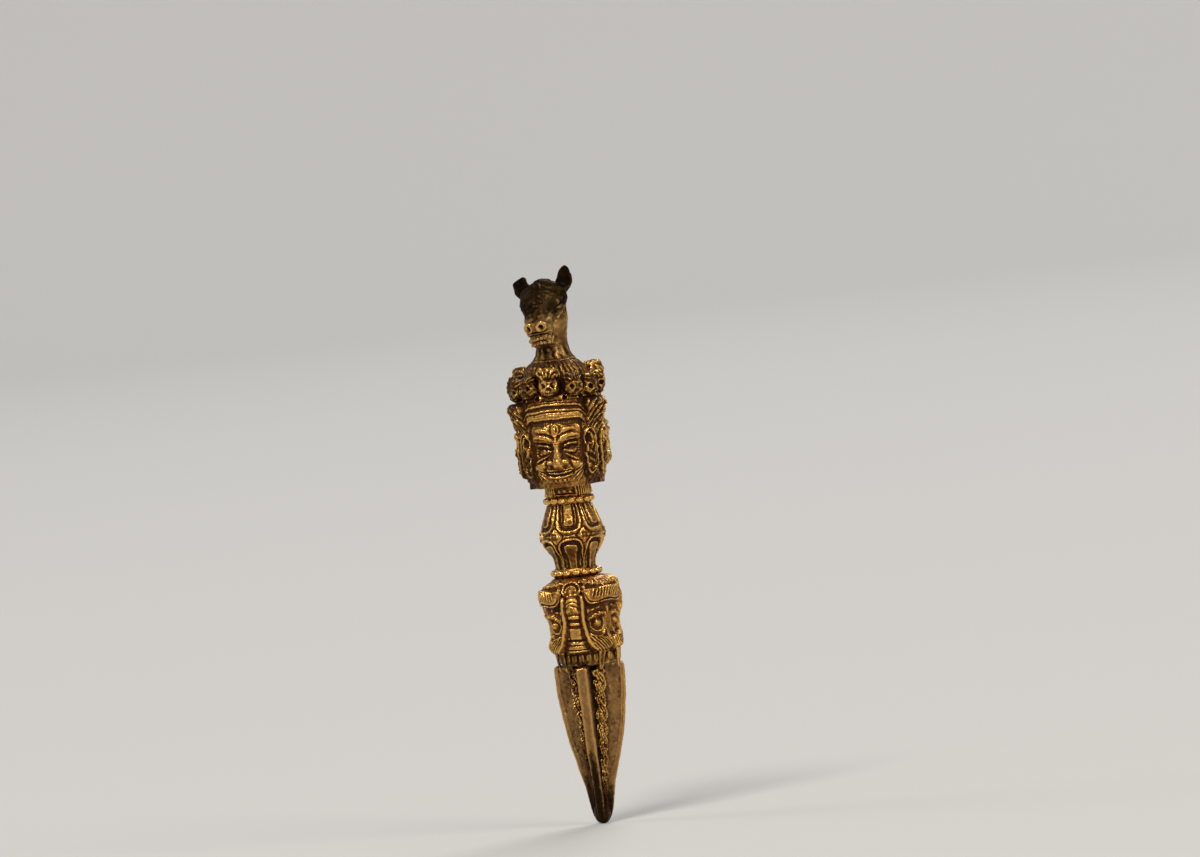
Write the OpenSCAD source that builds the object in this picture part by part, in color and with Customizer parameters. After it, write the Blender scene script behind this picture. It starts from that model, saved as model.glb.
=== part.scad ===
// Three-edged ritual dagger, cast and gilt. From the top: a horse-headed
// finial, a crown of skulls, three faces back to back, a six-sided grip
// between two beaded rings, a sea-monster head with three trunks, and a blade
// of three fins with a pair of serpents twisted down each flute.
// The castings are strung on one rod, and two cross pins lock its ends.
// Z is the axis, the blade's tip is at the origin and the front looks along -Y.

/* [Rod and seats] */
// Diameter of the rod that strings the castings together
rod_d = 1.8; // [1.4:0.1:2]
// Radial clearance of the rod in its bores
rod_gap = 0.03; // [0.01:0.01:0.06]
// Diameter of the two cross pins
pin_d = 0.8; // [0.6:0.1:1]
// Clearance between a piece and the piece that it is seated on
seat_gap = 0.03; // [0.02:0.01:0.06]
// Depth of the rod's blind bore below the blade's shoulder
rod_sink = 6; // [4:0.5:8]

/* [Blade] */
// Height of the fins, from the tip to their shoulder
blade_len = 22.9; // [18:0.1:30]
// Reach of a fin from the axis at its shoulder
fin_reach = 5.5; // [4.8:0.1:6]
// Thickness of a fin
fin_w = 1.45; // [1.2:0.05:1.8]
// Radius of the blunt tip
tip_r = 1.15; // [1:0.05:1.4]
// Radius of the flutes' floor at the shoulder
floor_r = 1.65; // [1.55:0.05:1.9]

/* [Serpents] */
// Width of a twisted pair of serpents at the top
pair_w = 1.5; // [1.2:0.1:1.7]
// Thickness of the pair
pair_t = 0.85; // [0.7:0.05:1]
// Length over which the pair twists by one turn
pair_pitch = 4.4; // [3.5:0.1:6]

/* [Jaw] */
// Height of the jaw collar between the blade and the trunks
jaw_h = 2; // [1.6:0.1:2.4]
// Radius of the jaw collar
jaw_r = 3.8; // [3.5:0.1:4]
// Radius of the blade's spigot in the jaw collar
spigot_r = 2.4; // [2:0.1:2.7]
// Number of teeth round the jaw
teeth_n = 24; // [18:3:27]
// Length of a tusk
tusk_len = 2.8; // [2:0.1:3.2]

/* [Trunks] */
// Height of the sea-monster head
makara_h = 10.7; // [9:0.1:12]
// Radius of its core
makara_core_r = 3.2; // [3:0.1:3.3]
// Reach of a trunk from the axis
trunk_reach = 6.2; // [5.8:0.1:6.6]
// Reach of the cheeks between the trunks
cheek_reach = 4.5; // [4.2:0.1:4.8]
// Half of the angle that a trunk fills
trunk_half = 14; // [12:1:16]
// Radius of an eye
eye_r = 1.05; // [0.9:0.05:1.2]

/* [Beaded rings] */
// Height of a beaded ring
bead_ring_h = 1.3; // [1.2:0.1:1.6]
// Radius of a bead
bead_r = 0.6; // [0.5:0.02:0.62]
// Radius of the circle of beads
bead_circle_r = 3.15; // [3.1:0.05:3.3]
// Number of beads
bead_n = 16; // [12:1:16]

/* [Grip] */
// Height of the grip's lower half
grip_low_h = 4.7; // [4:0.1:6]
// Height of the grip's upper half
grip_high_h = 4.4; // [4:0.1:6]
// Radius of the grip where it meets the beaded rings
waist_r = 3; // [2.9:0.05:3.1]
// Radius of the grip at its girdle
girdle_r = 4.35; // [4.1:0.05:4.7]
// Number of arched panels round each half
panel_n = 6; // [5:1:7]
// Depth of a panel's niche
niche_depth = 0.5; // [0.3:0.05:0.6]
// Radius of a stud on the girdle
stud_r = 0.75; // [0.6:0.05:0.85]

/* [Head] */
// Height of the neck collar
neck_h = 1.4; // [1.2:0.1:2]
// Radius of the neck collar
neck_r = 3.35; // [3.1:0.05:3.5]
// Height of a face, from the chin to the diadem
face_h = 9.7; // [9:0.1:11]
// Height of the diadem
diadem_h = 2.7; // [2.3:0.1:3]
// Radius of the core that carries the faces
head_core_r = 4.4; // [4.2:0.1:4.6]
// Reach of a face at its cheeks
face_reach = 6.25; // [6.1:0.05:6.5]
// Reach of an ear
ear_reach = 6.95; // [6.7:0.05:7.2]
// Reach of the hair locks
lock_reach = 7.6; // [7.2:0.1:7.8]
// Half of the angle that a face fills
face_half = 40; // [38:1:42]

/* [Crown] */
// Height of the crown
crown_h = 3.4; // [3:0.1:4]
// Radius of the crown's band
crown_r = 6.1; // [5.9:0.1:6.3]
// Radius of the drum behind the skulls
drum_r = 4.7; // [4.5:0.1:4.8]
// Radius of the skull at the middle of each face
skull_r = 1.5; // [1.3:0.05:1.55]
// Height of the fluted hair dome
dome_h = 2.2; // [1.8:0.1:3]
// Number of strands in the dome
strand_n = 36; // [24:3:42]

/* [Horse] */
// Height of the finial's socket
socket_h = 2.4; // [2.2:0.1:3]
// Radius of the finial at the dome
socket_foot_r = 3.15; // [2.9:0.05:3.3]
// Radius of the finial's throat
throat_r = 2.2; // [2:0.05:2.4]
// Height of the horse's head above the socket
horse_h = 9.4; // [8.5:0.1:10.5]
// Turn of the horse's head about the axis
horse_turn = -21; // [-30:1:0]
// Sideways tilt of the horse's head
horse_tilt = -6; // [-12:1:0]
// Length of an ear
horse_ear_len = 4; // [3.2:0.1:4.4]

/* [Hidden] */
$fn = 48;
third = 120;
gilt = "#b98a35";
dark_gilt = "#8a6022";
rod_r = rod_d / 2;
bore_r = rod_r + rod_gap;
pin_r = pin_d / 2;
pin_bore_r = pin_r + rod_gap;

// Levels along the axis
z_makara = blade_len + jaw_h;
z_bead_low = z_makara + makara_h;
z_grip = z_bead_low + bead_ring_h;
z_girdle = z_grip + grip_low_h;
z_bead_high = z_girdle + grip_high_h;
z_neck = z_bead_high + bead_ring_h;
z_head = z_neck + neck_h;
z_diadem = z_head + face_h;
z_crown = z_diadem + diadem_h;
z_dome = z_crown + crown_h;
z_finial = z_dome + dome_h;
z_horse = z_finial + socket_h;
z_rod_foot = blade_len - rod_sink;
z_rod_top = z_horse - 0.5;
z_jaw_pin = blade_len + jaw_h / 2;
z_finial_pin = z_finial + socket_h * 0.55;

// The shapes of the pieces are drawn at these heights and scaled
blade_k = blade_len / 22.9;
face_k = face_h / 9.7;
makara_k = makara_h / 10.7;
horse_k = horse_h / 9.4;
z_lock = z_head + 8.5 * face_k;

tooth_w = 0.62;
tooth_out = 0.5;
tusk_angle = 41;
pit_r = 0.35;

// Height over the socket that the horse's head tilts about
poll_z = 7 * horse_k;

// Reach of a fin and radius of the flute's floor, by height
fin_shape = [
    [0.3, 0.6], [1, 1], [2, 1.35], [3, 1.55], [5, 2.02], [8, 2.9], [11, 3.78],
    [14, 4.53], [17, 5.1], [20, 5.42], [22, 5.5], [22.6, 5.4], [22.9, 5]
];
flute_shape = [
    [0.5, 0.3], [3, 0.5], [5, 0.72], [8, 1], [11, 1.22], [14, 1.41], [17, 1.55],
    [20, 1.63], [22.9, 1.65]
];
// Width of the serpents, by height
pair_taper = [[3.6, 0.15], [5, 0.35], [8, 0.55], [12, 0.74], [16, 0.88], [21, 1], [22.5, 0.7]];
// Reach of a trunk down its middle and along its edges, by height
trunk_middle = [
    [0, 4.9], [0.3, 5.35], [0.7, 5.4], [1, 5.15], [1.3, 5.45], [1.6, 5.45], [1.8, 5.2],
    [2.1, 5.5], [3.1, 5.55], [3.4, 5.3], [3.9, 5.3], [4.1, 5.5], [4.35, 5.5], [4.6, 5.4],
    [5, 6.1], [6.2, 6.2], [6.6, 6.1], [6.8, 6.25], [7.1, 6.1], [7.4, 6.25], [7.8, 6.1],
    [8.3, 6.05], [9.4, 5.95], [10.1, 5.4], [10.7, 3.7]
];
trunk_edge = [[0, 4.9], [4.4, 5.15], [5.2, 6.05], [9.4, 5.9], [10.1, 5], [10.7, 3.6]];
// Swell of the cheeks, by height
cheek_shape = [
    [0, -0.2], [0.4, 0.1], [2, 0.1], [4, 0.1], [6, 0.1], [7, 0.7], [9, 0.7], [9.8, 0.1],
    [10.3, -0.6], [10.7, -1]
];
// Share of the height, and of the way from the waist to the girdle
grip_low_shape = [
    [0, 0], [0.22, 0.06], [0.42, 0.3], [0.62, 0.68], [0.82, 0.95], [0.94, 1], [1, 1]
];
grip_high_shape = [[0, 0.05], [0.2, 0.3], [0.45, 0.6], [0.68, 0.82], [0.85, 0.96], [1, 1]];
// Height of the nose's ridge over the face, by height above the chin
nose_shape = [[2.4, 0], [2.8, 0.8], [3.4, 1.05], [4.4, 1], [6.2, 0.75], [7.2, 0.4], [8, 0]];
diadem_shape = [
    [0, 0.05], [0.15, 0.3], [0.6, 0.35], [0.8, 0.2], [1.1, 0.3], [1.25, 0.12], [1.4, 0.36],
    [1.65, 0.36], [1.8, 0.12], [2.2, 0.12], [2.35, 0.3], [2.6, 0.3], [2.75, 0.1], [3.5, -0.1]
];
// Size of a skull against the middle one and its height over the diadem
skull_sizes = [[1, 2.3], [0.9, 1.85], [0.85, 1.4]];
// Share of the dome's height, and of its radius
dome_shape = [[0, 1], [0.3, 0.96], [0.65, 0.87], [0.88, 0.74], [1, 0.62]];
// Share of the ear's length, and its radius
ear_shape = [[0, 0.85], [0.3, 1], [0.6, 0.92], [0.85, 0.6], [1, 0.22]];

// A point at radius r, turned a degrees from the front towards +X
function at(r, a, z) = [r * sin(a), -r * cos(a), z];

// A smooth hill of height 1 at (cx, cy), with half-widths sx and sy
function hill(x, y, cx, cy, sx, sy) =
    exp(-pow((x - cx) / sx, 2) - pow((y - cy) / sy, 2));

// Distance from (x, y) to the segment from a to b
function seg_dist(x, y, a, b) =
    let (d = b - a, p = [x, y] - a, t = max(0, min(1, (p * d) / (d * d))))
    norm(p - t * d);

// A rounded ridge of height 1 and half-width w along a segment
function ridge(x, y, a, b, w) = exp(-pow(seg_dist(x, y, a, b) / w, 2));

// Solid between the cylinder of radius ri and the surface r = f(a, z), for
// angles a0 to a1 and heights z0 to z1
module relief(f, a0, a1, z0, z1, na, nz, ri) {
    angles = [for (i = [0:na]) a0 + (a1 - a0) * i / na];
    outer = [
        for (j = [0:nz], a = angles)
            let (z = z0 + (z1 - z0) * j / nz) at(f(a, z), a, z)
    ];
    inner = [for (z = [z0, z1], a = angles) at(ri, a, z)];
    cols = na + 1;
    base = len(outer);
    skin = [
        for (j = [0:nz - 1], i = [0:na - 1], half = [0, 1])
            let (p = j * cols + i)
            half == 0 ? [p, p + cols, p + cols + 1] : [p, p + cols + 1, p + 1]
    ];
    back = [
        for (i = [0:na - 1])
            [base + i, base + i + 1, base + cols + i + 1, base + cols + i]
    ];
    foot = concat([for (i = [0:na]) i], [for (i = [na:-1:0]) base + i]);
    head = concat(
        [for (i = [na:-1:0]) nz * cols + i], [for (i = [0:na]) base + cols + i]);
    near = concat([base, base + cols], [for (j = [nz:-1:0]) j * cols]);
    far = concat(
        [base + cols + na, base + na], [for (j = [0:nz]) j * cols + na]);
    polyhedron(concat(outer, inner), concat(skin, back, [foot, head, near, far]));
}

// Solid skinned over a list of closed rings, which turn anticlockwise when
// seen from the last ring; both ends are closed by a fan to the ring's centre
module loft(rings) {
    m = len(rings[0]);
    n = len(rings);
    mid_a = [for (k = [0:2]) [for (p = rings[0]) p[k]] * [for (i = [1:m]) 1 / m]];
    mid_b = [for (k = [0:2]) [for (p = rings[n - 1]) p[k]] * [for (i = [1:m]) 1 / m]];
    points = concat([for (r = rings, p = r) p], [mid_a, mid_b]);
    skin = [
        for (k = [0:n - 2], i = [0:m - 1], half = [0, 1])
            let (p = k * m, q = p + m, j = (i + 1) % m)
            half == 0 ? [p + i, q + i, q + j] : [p + i, q + j, p + j]
    ];
    foot = [for (i = [0:m - 1]) [n * m, i, (i + 1) % m]];
    last = (n - 1) * m;
    head = [for (i = [0:m - 1]) [n * m + 1, last + (i + 1) % m, last + i]];
    polyhedron(points, concat(skin, foot, head));
}

// An elliptical ring in the plane through c that holds X and the direction
// leaning `pitch` degrees from +Y towards +Z
function oval(c, rx, ry, pitch, m) = [
    for (i = [0:m - 1])
        let (t = 360 * i / m)
        c + rx * cos(t) * [1, 0, 0] + ry * sin(t) * [0, cos(pitch), sin(pitch)]
];

module thirds(start = 0) for (k = [0:2]) rotate([0, 0, start + third * k]) children();

// Height above the chin and above the jaw collar, in the millimetres that the
// face and the trunks are drawn in
function face_y(z) = (z - z_head) / face_k;
function trunk_y(z) = (z - z_makara) / makara_k;

// How far a fin reaches at the height z
function fin_r(z) = lookup(z / blade_k, fin_shape) * fin_reach / 5.5;

// Radius of the flutes' floor at the height z
function flute_r(z) = lookup(z / blade_k, flute_shape) * floor_r / 1.65;

// One strand pair's cross-section, twisted with height and kept off the floor
function pair_ring(z) =
    let (
        k = lookup(z / blade_k, pair_taper),
        w = pair_w / 2 * k,
        t = pair_t / 2 * k,
        low = max(flute_r(z), fin_w * 0.6) + seat_gap,
        mid = low + t + 0.05,
        turn = 360 * z / pair_pitch
    )
    [
        for (i = [0:7])
            let (
                u = w * cos(45 * i),
                v = t * sin(45 * i),
                across = u * cos(turn) - v * sin(turn),
                out = u * sin(turn) + v * cos(turn)
            )
            [across, -max(mid + out, sqrt(max(0, pow(low, 2) - pow(across, 2))) + 0.01), z]
    ];

module core_rod() {
    color("silver") difference() {
        translate([0, 0, z_rod_foot]) cylinder(h = z_rod_top - z_rod_foot, r = rod_r);
        cross_bore(z_jaw_pin, jaw_r);
        cross_bore(z_finial_pin, socket_foot_r);
    }
}

// A hole for a cross pin, along X
module cross_bore(z, reach) {
    translate([-reach - 1, 0, z]) rotate([0, 90, 0]) cylinder(h = 2 * reach + 2, r = pin_bore_r);
}

// A cross pin whose ends stop at the given reach from the axis
module cross_pin(z, reach) {
    translate([-reach, 0, z]) rotate([0, 90, 0]) cylinder(h = 2 * reach, r = pin_r);
}

module jaw_pin() color("silver") cross_pin(z_jaw_pin, jaw_r - 0.1);

module finial_pin() color("silver") cross_pin(z_finial_pin, throat_r);

// Cuts the rod's bore through a piece that stands between z and z + h
module strung(z, h) {
    difference() {
        children();
        translate([0, 0, z - 1]) cylinder(h = h + 2, r = bore_r);
    }
}

module fin() {
    rotate([0, 0, -90]) rotate([90, 0, 0]) linear_extrude(height = fin_w, center = true)
        polygon(concat(
            [[0, fin_shape[0][0] * blade_k]],
            [for (p = fin_shape) [p[1] * fin_reach / 5.5, p[0] * blade_k]],
            [[0, blade_len]]));
}

module blade() {
    color(gilt) difference() {
        union() {
            thirds() fin();
            rotate_extrude() polygon(concat(
                [[0, flute_shape[0][0] * blade_k]],
                [for (p = flute_shape) [p[1] * floor_r / 1.65, p[0] * blade_k]],
                [[0, blade_len]]));
            translate([0, 0, tip_r]) sphere(r = tip_r);
            translate([0, 0, blade_len - 0.5]) cylinder(h = jaw_h + 0.5, r = spigot_r);
        }
        translate([0, 0, z_rod_foot]) cylinder(h = z_makara - z_rod_foot + 1, r = bore_r);
        cross_bore(z_jaw_pin, jaw_r);
    }
}

module serpents(a) {
    color(dark_gilt) rotate([0, 0, a])
        loft([for (k = [0:34]) pair_ring((3.6 + k * 18.9 / 34) * blade_k)]);
}
module serpents_right() serpents(60);
module serpents_back() serpents(180);
module serpents_left() serpents(300);

module jaw_collar() {
    color(dark_gilt) difference() {
        translate([0, 0, blade_len]) cylinder(h = jaw_h, r = jaw_r);
        translate([0, 0, blade_len - 1]) cylinder(h = jaw_h + 2, r = spigot_r + seat_gap);
        cross_bore(z_jaw_pin, jaw_r);
    }
}

module teeth() {
    color(gilt) for (k = [0:teeth_n - 1]) {
        a = 360 * k / teeth_n;
        off_fin = abs((a + 60) % third - 60);
        if (abs(off_fin - tusk_angle) > 9)
            rotate([0, 0, a]) translate([-tooth_w / 2, -jaw_r - tooth_out - 0.01, blade_len + 0.5])
                cube([tooth_w, tooth_out, jaw_h - 0.7]);
    }
}

module tusks() {
    color(gilt) for (k = [0:2], side = [-1, 1])
        rotate([0, 0, third * k + side * tusk_angle])
            translate([0, -jaw_r - 0.45, z_makara - tusk_len])
                cylinder(h = tusk_len, r1 = 0.16, r2 = 0.44);
}

module makara_core() {
    color(dark_gilt) strung(z_makara, makara_h)
        translate([0, 0, z_makara]) cylinder(h = makara_h, r = makara_core_r);
}

// A trunk: ribbed down its middle, with a plain strip along each edge
function trunk_r(a, z) =
    let (
        y = trunk_y(z), x = abs(a) / trunk_half,
        middle = lookup(y, trunk_middle) + 0.25 * hill(x, y, 0, 9.3, 0.7, 0.6),
        edge = lookup(y, trunk_edge)
    )
    (x < 0.7 ? middle : x < 0.85 ? min(middle, edge) - 0.22 : edge) + trunk_reach - 6.2;

module trunk(a) {
    color(gilt) rotate([0, 0, a])
        relief(function (a, z) trunk_r(a, z), -trunk_half, trunk_half,
            z_makara, z_bead_low, 8, 30, makara_core_r + seat_gap);
}
module trunk_front() trunk(0);
module trunk_right() trunk(third);
module trunk_left() trunk(-third);

// Half of the space between two trunks: x runs from the trunk's axis to the
// middle, y upwards, both in millimetres. Eye with its lids, hatched brow,
// ribbed fan, curls, swag of the lip and the strip that curls off the trunk.
function cheek_r(a, z) =
    let (
        s = min(a, third - a), x = s / 11, y = trunk_y(z),
        eye = norm([x - 3.73, y - 4]),
        fan = max(0, 1 - pow((y - 8) / 1.25, 4)) * (x > 2 ? 1 : max(0, x - 1))
    )
    cheek_reach + lookup(y, cheek_shape)
    + 0.5 * ridge(x, y, [1.4, 7], [1.5, 3.5], 0.3)
    + 0.5 * ridge(x, y, [1.5, 3.5], [2.9, 0.4], 0.36)
    + 0.8 * exp(-pow(eye / (eye_r * 0.68), 2)) + 0.35 * exp(-pow((eye - 1.2) / 0.25, 2))
    + 0.5 * ridge(x, y, [2, 5.1], [4.3, 5.9], 0.3) + 0.5 * ridge(x, y, [4.3, 5.9], [5.45, 5.1], 0.3)
    - 0.25 * hill(x, y, 3.8, 6.5, 1.6, 0.3)
    + fan * (0.45 + 0.14 * cos(360 * x / 0.62))
    + 0.4 * hill(x, y, 2.4, 9.75, 0.35, 0.35) + 0.4 * hill(x, y, 3.9, 9.75, 0.4, 0.3)
    + 0.4 * hill(x, y, 5.45, 9.5, 0.4, 0.4)
    + 0.4 * ridge(x, y, [2, 2], [3.6, 1], 0.6) + 0.4 * ridge(x, y, [3.6, 1], [5.45, 1.1], 0.6)
    + 0.3 * hill(x, y, 4.8, 2.6, 0.4, 0.35);

module cheek(a) {
    edge = trunk_half + 0.3;
    color(dark_gilt) rotate([0, 0, a])
        relief(function (a, z) cheek_r(a, z), edge, third - edge,
            z_makara, z_bead_low, 28, 27, makara_core_r + seat_gap);
}
module cheek_right() cheek(0);
module cheek_back() cheek(third);
module cheek_left() cheek(-third);

module bead_ring(z) {
    color(gilt) strung(z, bead_ring_h) union() {
        translate([0, 0, z]) cylinder(h = bead_ring_h, r = bead_circle_r - 0.05);
        for (k = [0:bead_n - 1])
            rotate([0, 0, 360 * k / bead_n])
                translate([0, -bead_circle_r, z + bead_ring_h / 2]) sphere(r = bead_r);
    }
}
module lower_bead_ring() bead_ring(z_bead_low);
module upper_bead_ring() bead_ring(z_bead_high);

// Outline of half of the grip, grown by `out`, from the waist to the girdle
function grip_outline(shape, h, out) = [
    for (p = shape) [waist_r + (girdle_r - waist_r) * p[1] + out, h * p[0]]
];

// One half of the grip, standing on its waist: six arched niches, each with a
// tongue left standing in it
module grip_half(shape, h) {
    difference() {
        rotate_extrude() polygon(concat([[0, 0]], grip_outline(shape, h, 0), [[0, h]]));
        for (k = [0:panel_n - 1]) rotate([0, 0, 360 * k / panel_n]) difference() {
            rotate([90, 0, 0]) linear_extrude(height = girdle_r + 1) difference() {
                arch(0.37 * waist_r, 0.36 * girdle_r, h * 0.08, h * 0.66, h * 0.86);
                arch(0.2 * waist_r, 0.15 * girdle_r, h * 0.08 - 1, h * 0.45, h * 0.66);
            }
            rotate_extrude() polygon(concat(
                [[0, -1], [waist_r - niche_depth, -1]],
                grip_outline(shape, h, -niche_depth), [[0, h]]));
        }
    }
}

// An arch from y0 to y2 that is w0 wide each side at its foot and w1 at y1
module arch(w0, w1, y0, y1, y2) {
    polygon([
        [-w0, y0], [w0, y0], [w1, y1], [w1 * 0.85, y1 + (y2 - y1) * 0.6], [w1 * 0.5, y2],
        [-w1 * 0.5, y2], [-w1 * 0.85, y1 + (y2 - y1) * 0.6], [-w1, y1]
    ]);
}

module grip_lower() {
    color(gilt) strung(z_grip, grip_low_h) translate([0, 0, z_grip])
        grip_half(grip_low_shape, grip_low_h);
}

module grip_upper() {
    color(gilt) strung(z_girdle, grip_high_h)
        translate([0, 0, z_bead_high]) mirror([0, 0, 1]) grip_half(grip_high_shape, grip_high_h);
}

module grip_studs() {
    color(gilt) for (k = [0:panel_n - 1]) rotate([0, 0, 360 * (k + 0.5) / panel_n])
        difference() {
            translate([0, -girdle_r + 0.2, z_girdle]) sphere(r = stud_r);
            translate([0, 0, z_girdle - stud_r - 1])
                cylinder(h = 2 * stud_r + 2, r = girdle_r + seat_gap);
        }
}

module neck_collar() {
    color(dark_gilt) strung(z_neck, neck_h) rotate_extrude() polygon([
        [0, z_neck], [neck_r - 0.1, z_neck], [neck_r - 0.15, z_neck + neck_h * 0.35],
        [neck_r, z_neck + neck_h * 0.75], [neck_r + 0.7, z_head], [0, z_head]
    ]);
}

module head_core() {
    color(dark_gilt) strung(z_head, z_crown - z_head)
        translate([0, 0, z_head]) cylinder(h = z_crown - z_head, r = head_core_r);
}

// A wrathful face: x runs across it and y up from the chin, in millimetres
function face_r(a, z) =
    let (x = a * PI / 180 * 6.3, u = abs(x), y = face_y(z))
    face_reach + 0.1 - 0.4 * pow(x / 4.4, 2) - exp(-y / 1.1)
    + exp(-pow(x / 0.6, 2)) * lookup(y, nose_shape)
    + 0.5 * hill(u, y, 1, 3.6, 0.45, 0.42)
    + 0.3 * hill(x, y, 0, 0.95, 1.8, 0.6)
    + 0.35 * hill(x, y, 0, 1.45, 1.7, 0.3)
    - 0.35 * hill(x, y, 0, 1.9, 2.2, 0.25)
    + 0.4 * hill(x, y, 0, 2.4, 1.5, 0.3)
    + 0.5 * hill(u, y, 2.6, 3.1, 1.1, 0.9)
    - 0.3 * ridge(u, y, [1.5, 3.4], [2.2, 1.9], 0.3)
    - 0.55 * hill(u, y, 1.9, 5.65, 1.1, 0.65)
    + 0.4 * hill(u, y, 1.9, 5.5, 0.8, 0.4)
    + 0.25 * ridge(u, y, [0.9, 4.9], [3, 3.9], 0.3)
    + 0.75 * ridge(u, y, [0.5, 7], [3.4, 7.7], 0.6)
    + 0.35 * hill(x, y, 0, 8.2, 0.4, 0.7)
    + 0.35 * ridge(u, y, [4.1, 2.7], [2.6, 0.6], 0.35)
    + 0.3 * ridge(u, y, [2.6, 0.6], [0, 0.3], 0.35);

module face(a) {
    color(gilt) rotate([0, 0, a])
        relief(function (a, z) face_r(a, z), -face_half, face_half,
            z_head, z_diadem, 26, 30, head_core_r + seat_gap);
}
module face_front() face(0);
module face_right() face(third);
module face_left() face(-third);

// Two ears back to back: each a long loop with a hollow above and a lobe below
function ear_r(a, z) =
    let (
        x = (abs(a - 60) - 10) * 0.118, y = face_y(z),
        loop = norm([x / 0.8, (y - 4.6) / 3.4])
    )
    ear_reach - 0.75 - 1.9 * exp(-y / 1.5)
    + 0.75 * exp(-pow((loop - 0.9) / 0.3, 2))
    - 0.3 * hill(x, y, 0, 6.2, 0.4, 1.1)
    + 0.45 * hill(x, y, 0, 2.6, 0.35, 1.2)
    - 0.3 * exp(-pow((abs(x) - 1.15) / 0.25, 2));

module ears() {
    color(gilt) thirds()
        relief(function (a, z) ear_r(a, z), face_half + 0.3, third - face_half - 0.3,
            z_head, z_lock, 20, 18, head_core_r + seat_gap);
}

// Flame-like hair that sweeps up and back from both faces to a point between
function lock_r(a, z) =
    let (u = (z - z_lock) / (z_crown - z_lock), s = abs(a - 60) / (60 - face_half))
    lock_reach - 0.7 + 0.5 * u - 0.15 * s * s + 0.2 * sin(360 * (1.5 * s + 1.3 * u));

module locks() {
    color(dark_gilt) thirds()
        relief(function (a, z) lock_r(a, z), face_half + 0.3, third - face_half - 0.3,
            z_lock, z_crown, 16, 10, head_core_r + seat_gap);
}

// The diadem's mouldings, which droop towards its ends
function diadem_r(a, z) =
    let (y = (z - z_diadem) * 2.7 / diadem_h + 0.8 * pow(a / face_half, 2))
    face_reach + lookup(y, diadem_shape);

module diadems() {
    color(gilt) thirds()
        relief(function (a, z) diadem_r(a, z), -face_half, face_half,
            z_diadem, z_crown, 14, 12, head_core_r + seat_gap);
}

// Outline of the crown's drum, grown by `out`
function drum_outline(out) = [
    [0, z_crown - out], [crown_r + out, z_crown - out], [crown_r + out, z_crown + crown_h * 0.27],
    [drum_r + 0.6 + out, z_crown + crown_h * 0.38], [drum_r + out, z_crown + crown_h * 0.5],
    [drum_r + out, z_dome + out], [0, z_dome + out]
];

module crown_drum() {
    color(dark_gilt) strung(z_crown, crown_h) difference() {
        rotate_extrude() polygon(drum_outline(0));
        for (k = [0:11]) rotate([0, 0, 15 + 30 * k])
            translate([0, -crown_r + 0.6, z_crown + 0.5]) rotate([90, 0, 0])
                cylinder(h = 2, r = pit_r);
    }
}

// A skull that looks along -Y: brain case, jaw, ribbed crest and drilled pits
module skull(r) {
    difference() {
        union() {
            sphere(r = r);
            translate([0, -r * 0.45, -r * 0.62]) sphere(r = r * 0.52);
            translate([0, 0, r * 0.7]) sphere(r = r * 0.82);
            translate([0, 0, r * 1.2]) sphere(r = r * 0.62);
        }
        for (side = [-1, 1]) translate([side * r * 0.4, 0, r * 0.02]) rotate([90, 0, 0])
            translate([0, 0, r * 0.55]) cylinder(h = r, r = pit_r);
        translate([0, 0, -r * 0.42]) rotate([90, 0, 0])
            translate([0, 0, r * 0.75]) cylinder(h = r, r = pit_r * 0.7);
    }
}

module skulls() {
    color(gilt) difference() {
        for (k = [0:11]) {
            size = skull_sizes[k % 4 == 0 ? 0 : k % 4 == 2 ? 2 : 1];
            rotate([0, 0, 30 * k]) translate([0, -crown_r + 0.2, z_crown + size[1] * crown_h / 3.4])
                skull(skull_r * size[0]);
        }
        rotate_extrude() polygon(drum_outline(seat_gap));
        translate([0, 0, z_dome]) cylinder(h = 4, r = drum_r + seat_gap);
    }
}

module hair_dome() {
    color(gilt) strung(z_dome, dome_h)
        loft([for (p = dome_shape) [
            for (i = [0:2 * strand_n - 1])
                at((drum_r - 0.1) * p[1] + (i % 2 == 0 ? 0 : -0.22), 180 * i / strand_n,
                    z_dome + dome_h * p[0])
        ]]);
}

module finial_socket() {
    color(dark_gilt) difference() {
        rotate_extrude() polygon([
            [0, z_finial], [socket_foot_r, z_finial],
            [throat_r + (socket_foot_r - throat_r) * 0.75, z_finial + socket_h * 0.14],
            [throat_r + (socket_foot_r - throat_r) * 0.4, z_finial + socket_h * 0.34],
            [throat_r + (socket_foot_r - throat_r) * 0.15, z_finial + socket_h * 0.6],
            [throat_r, z_finial + socket_h * 0.85], [throat_r, z_horse], [0, z_horse]
        ]);
        translate([0, 0, z_finial - 1]) cylinder(h = z_rod_top - z_finial + 1, r = bore_r);
        cross_bore(z_finial_pin, socket_foot_r);
    }
}

// Rings of the horse, each [y, z, half-width, half-depth, lean]
function horse_rings(table, m) =
    [for (p = table) oval([0, p[0], p[1] * horse_k], p[2], p[3], p[4], m)];

module horse_ear(side) {
    translate([side * 2.4, 0.1, 6.6 * horse_k]) rotate([-4, side * 19, side * 12])
        loft([for (p = ear_shape) [
            for (i = [0:7])
                let (t = 45 * i)
                [p[1] * 1.05 * cos(t), p[1] * 0.62 * sin(t) + (sin(t) < -0.5 ? p[1] * 0.3 : 0),
                    horse_ear_len * p[0]]
        ]]);
}

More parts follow.
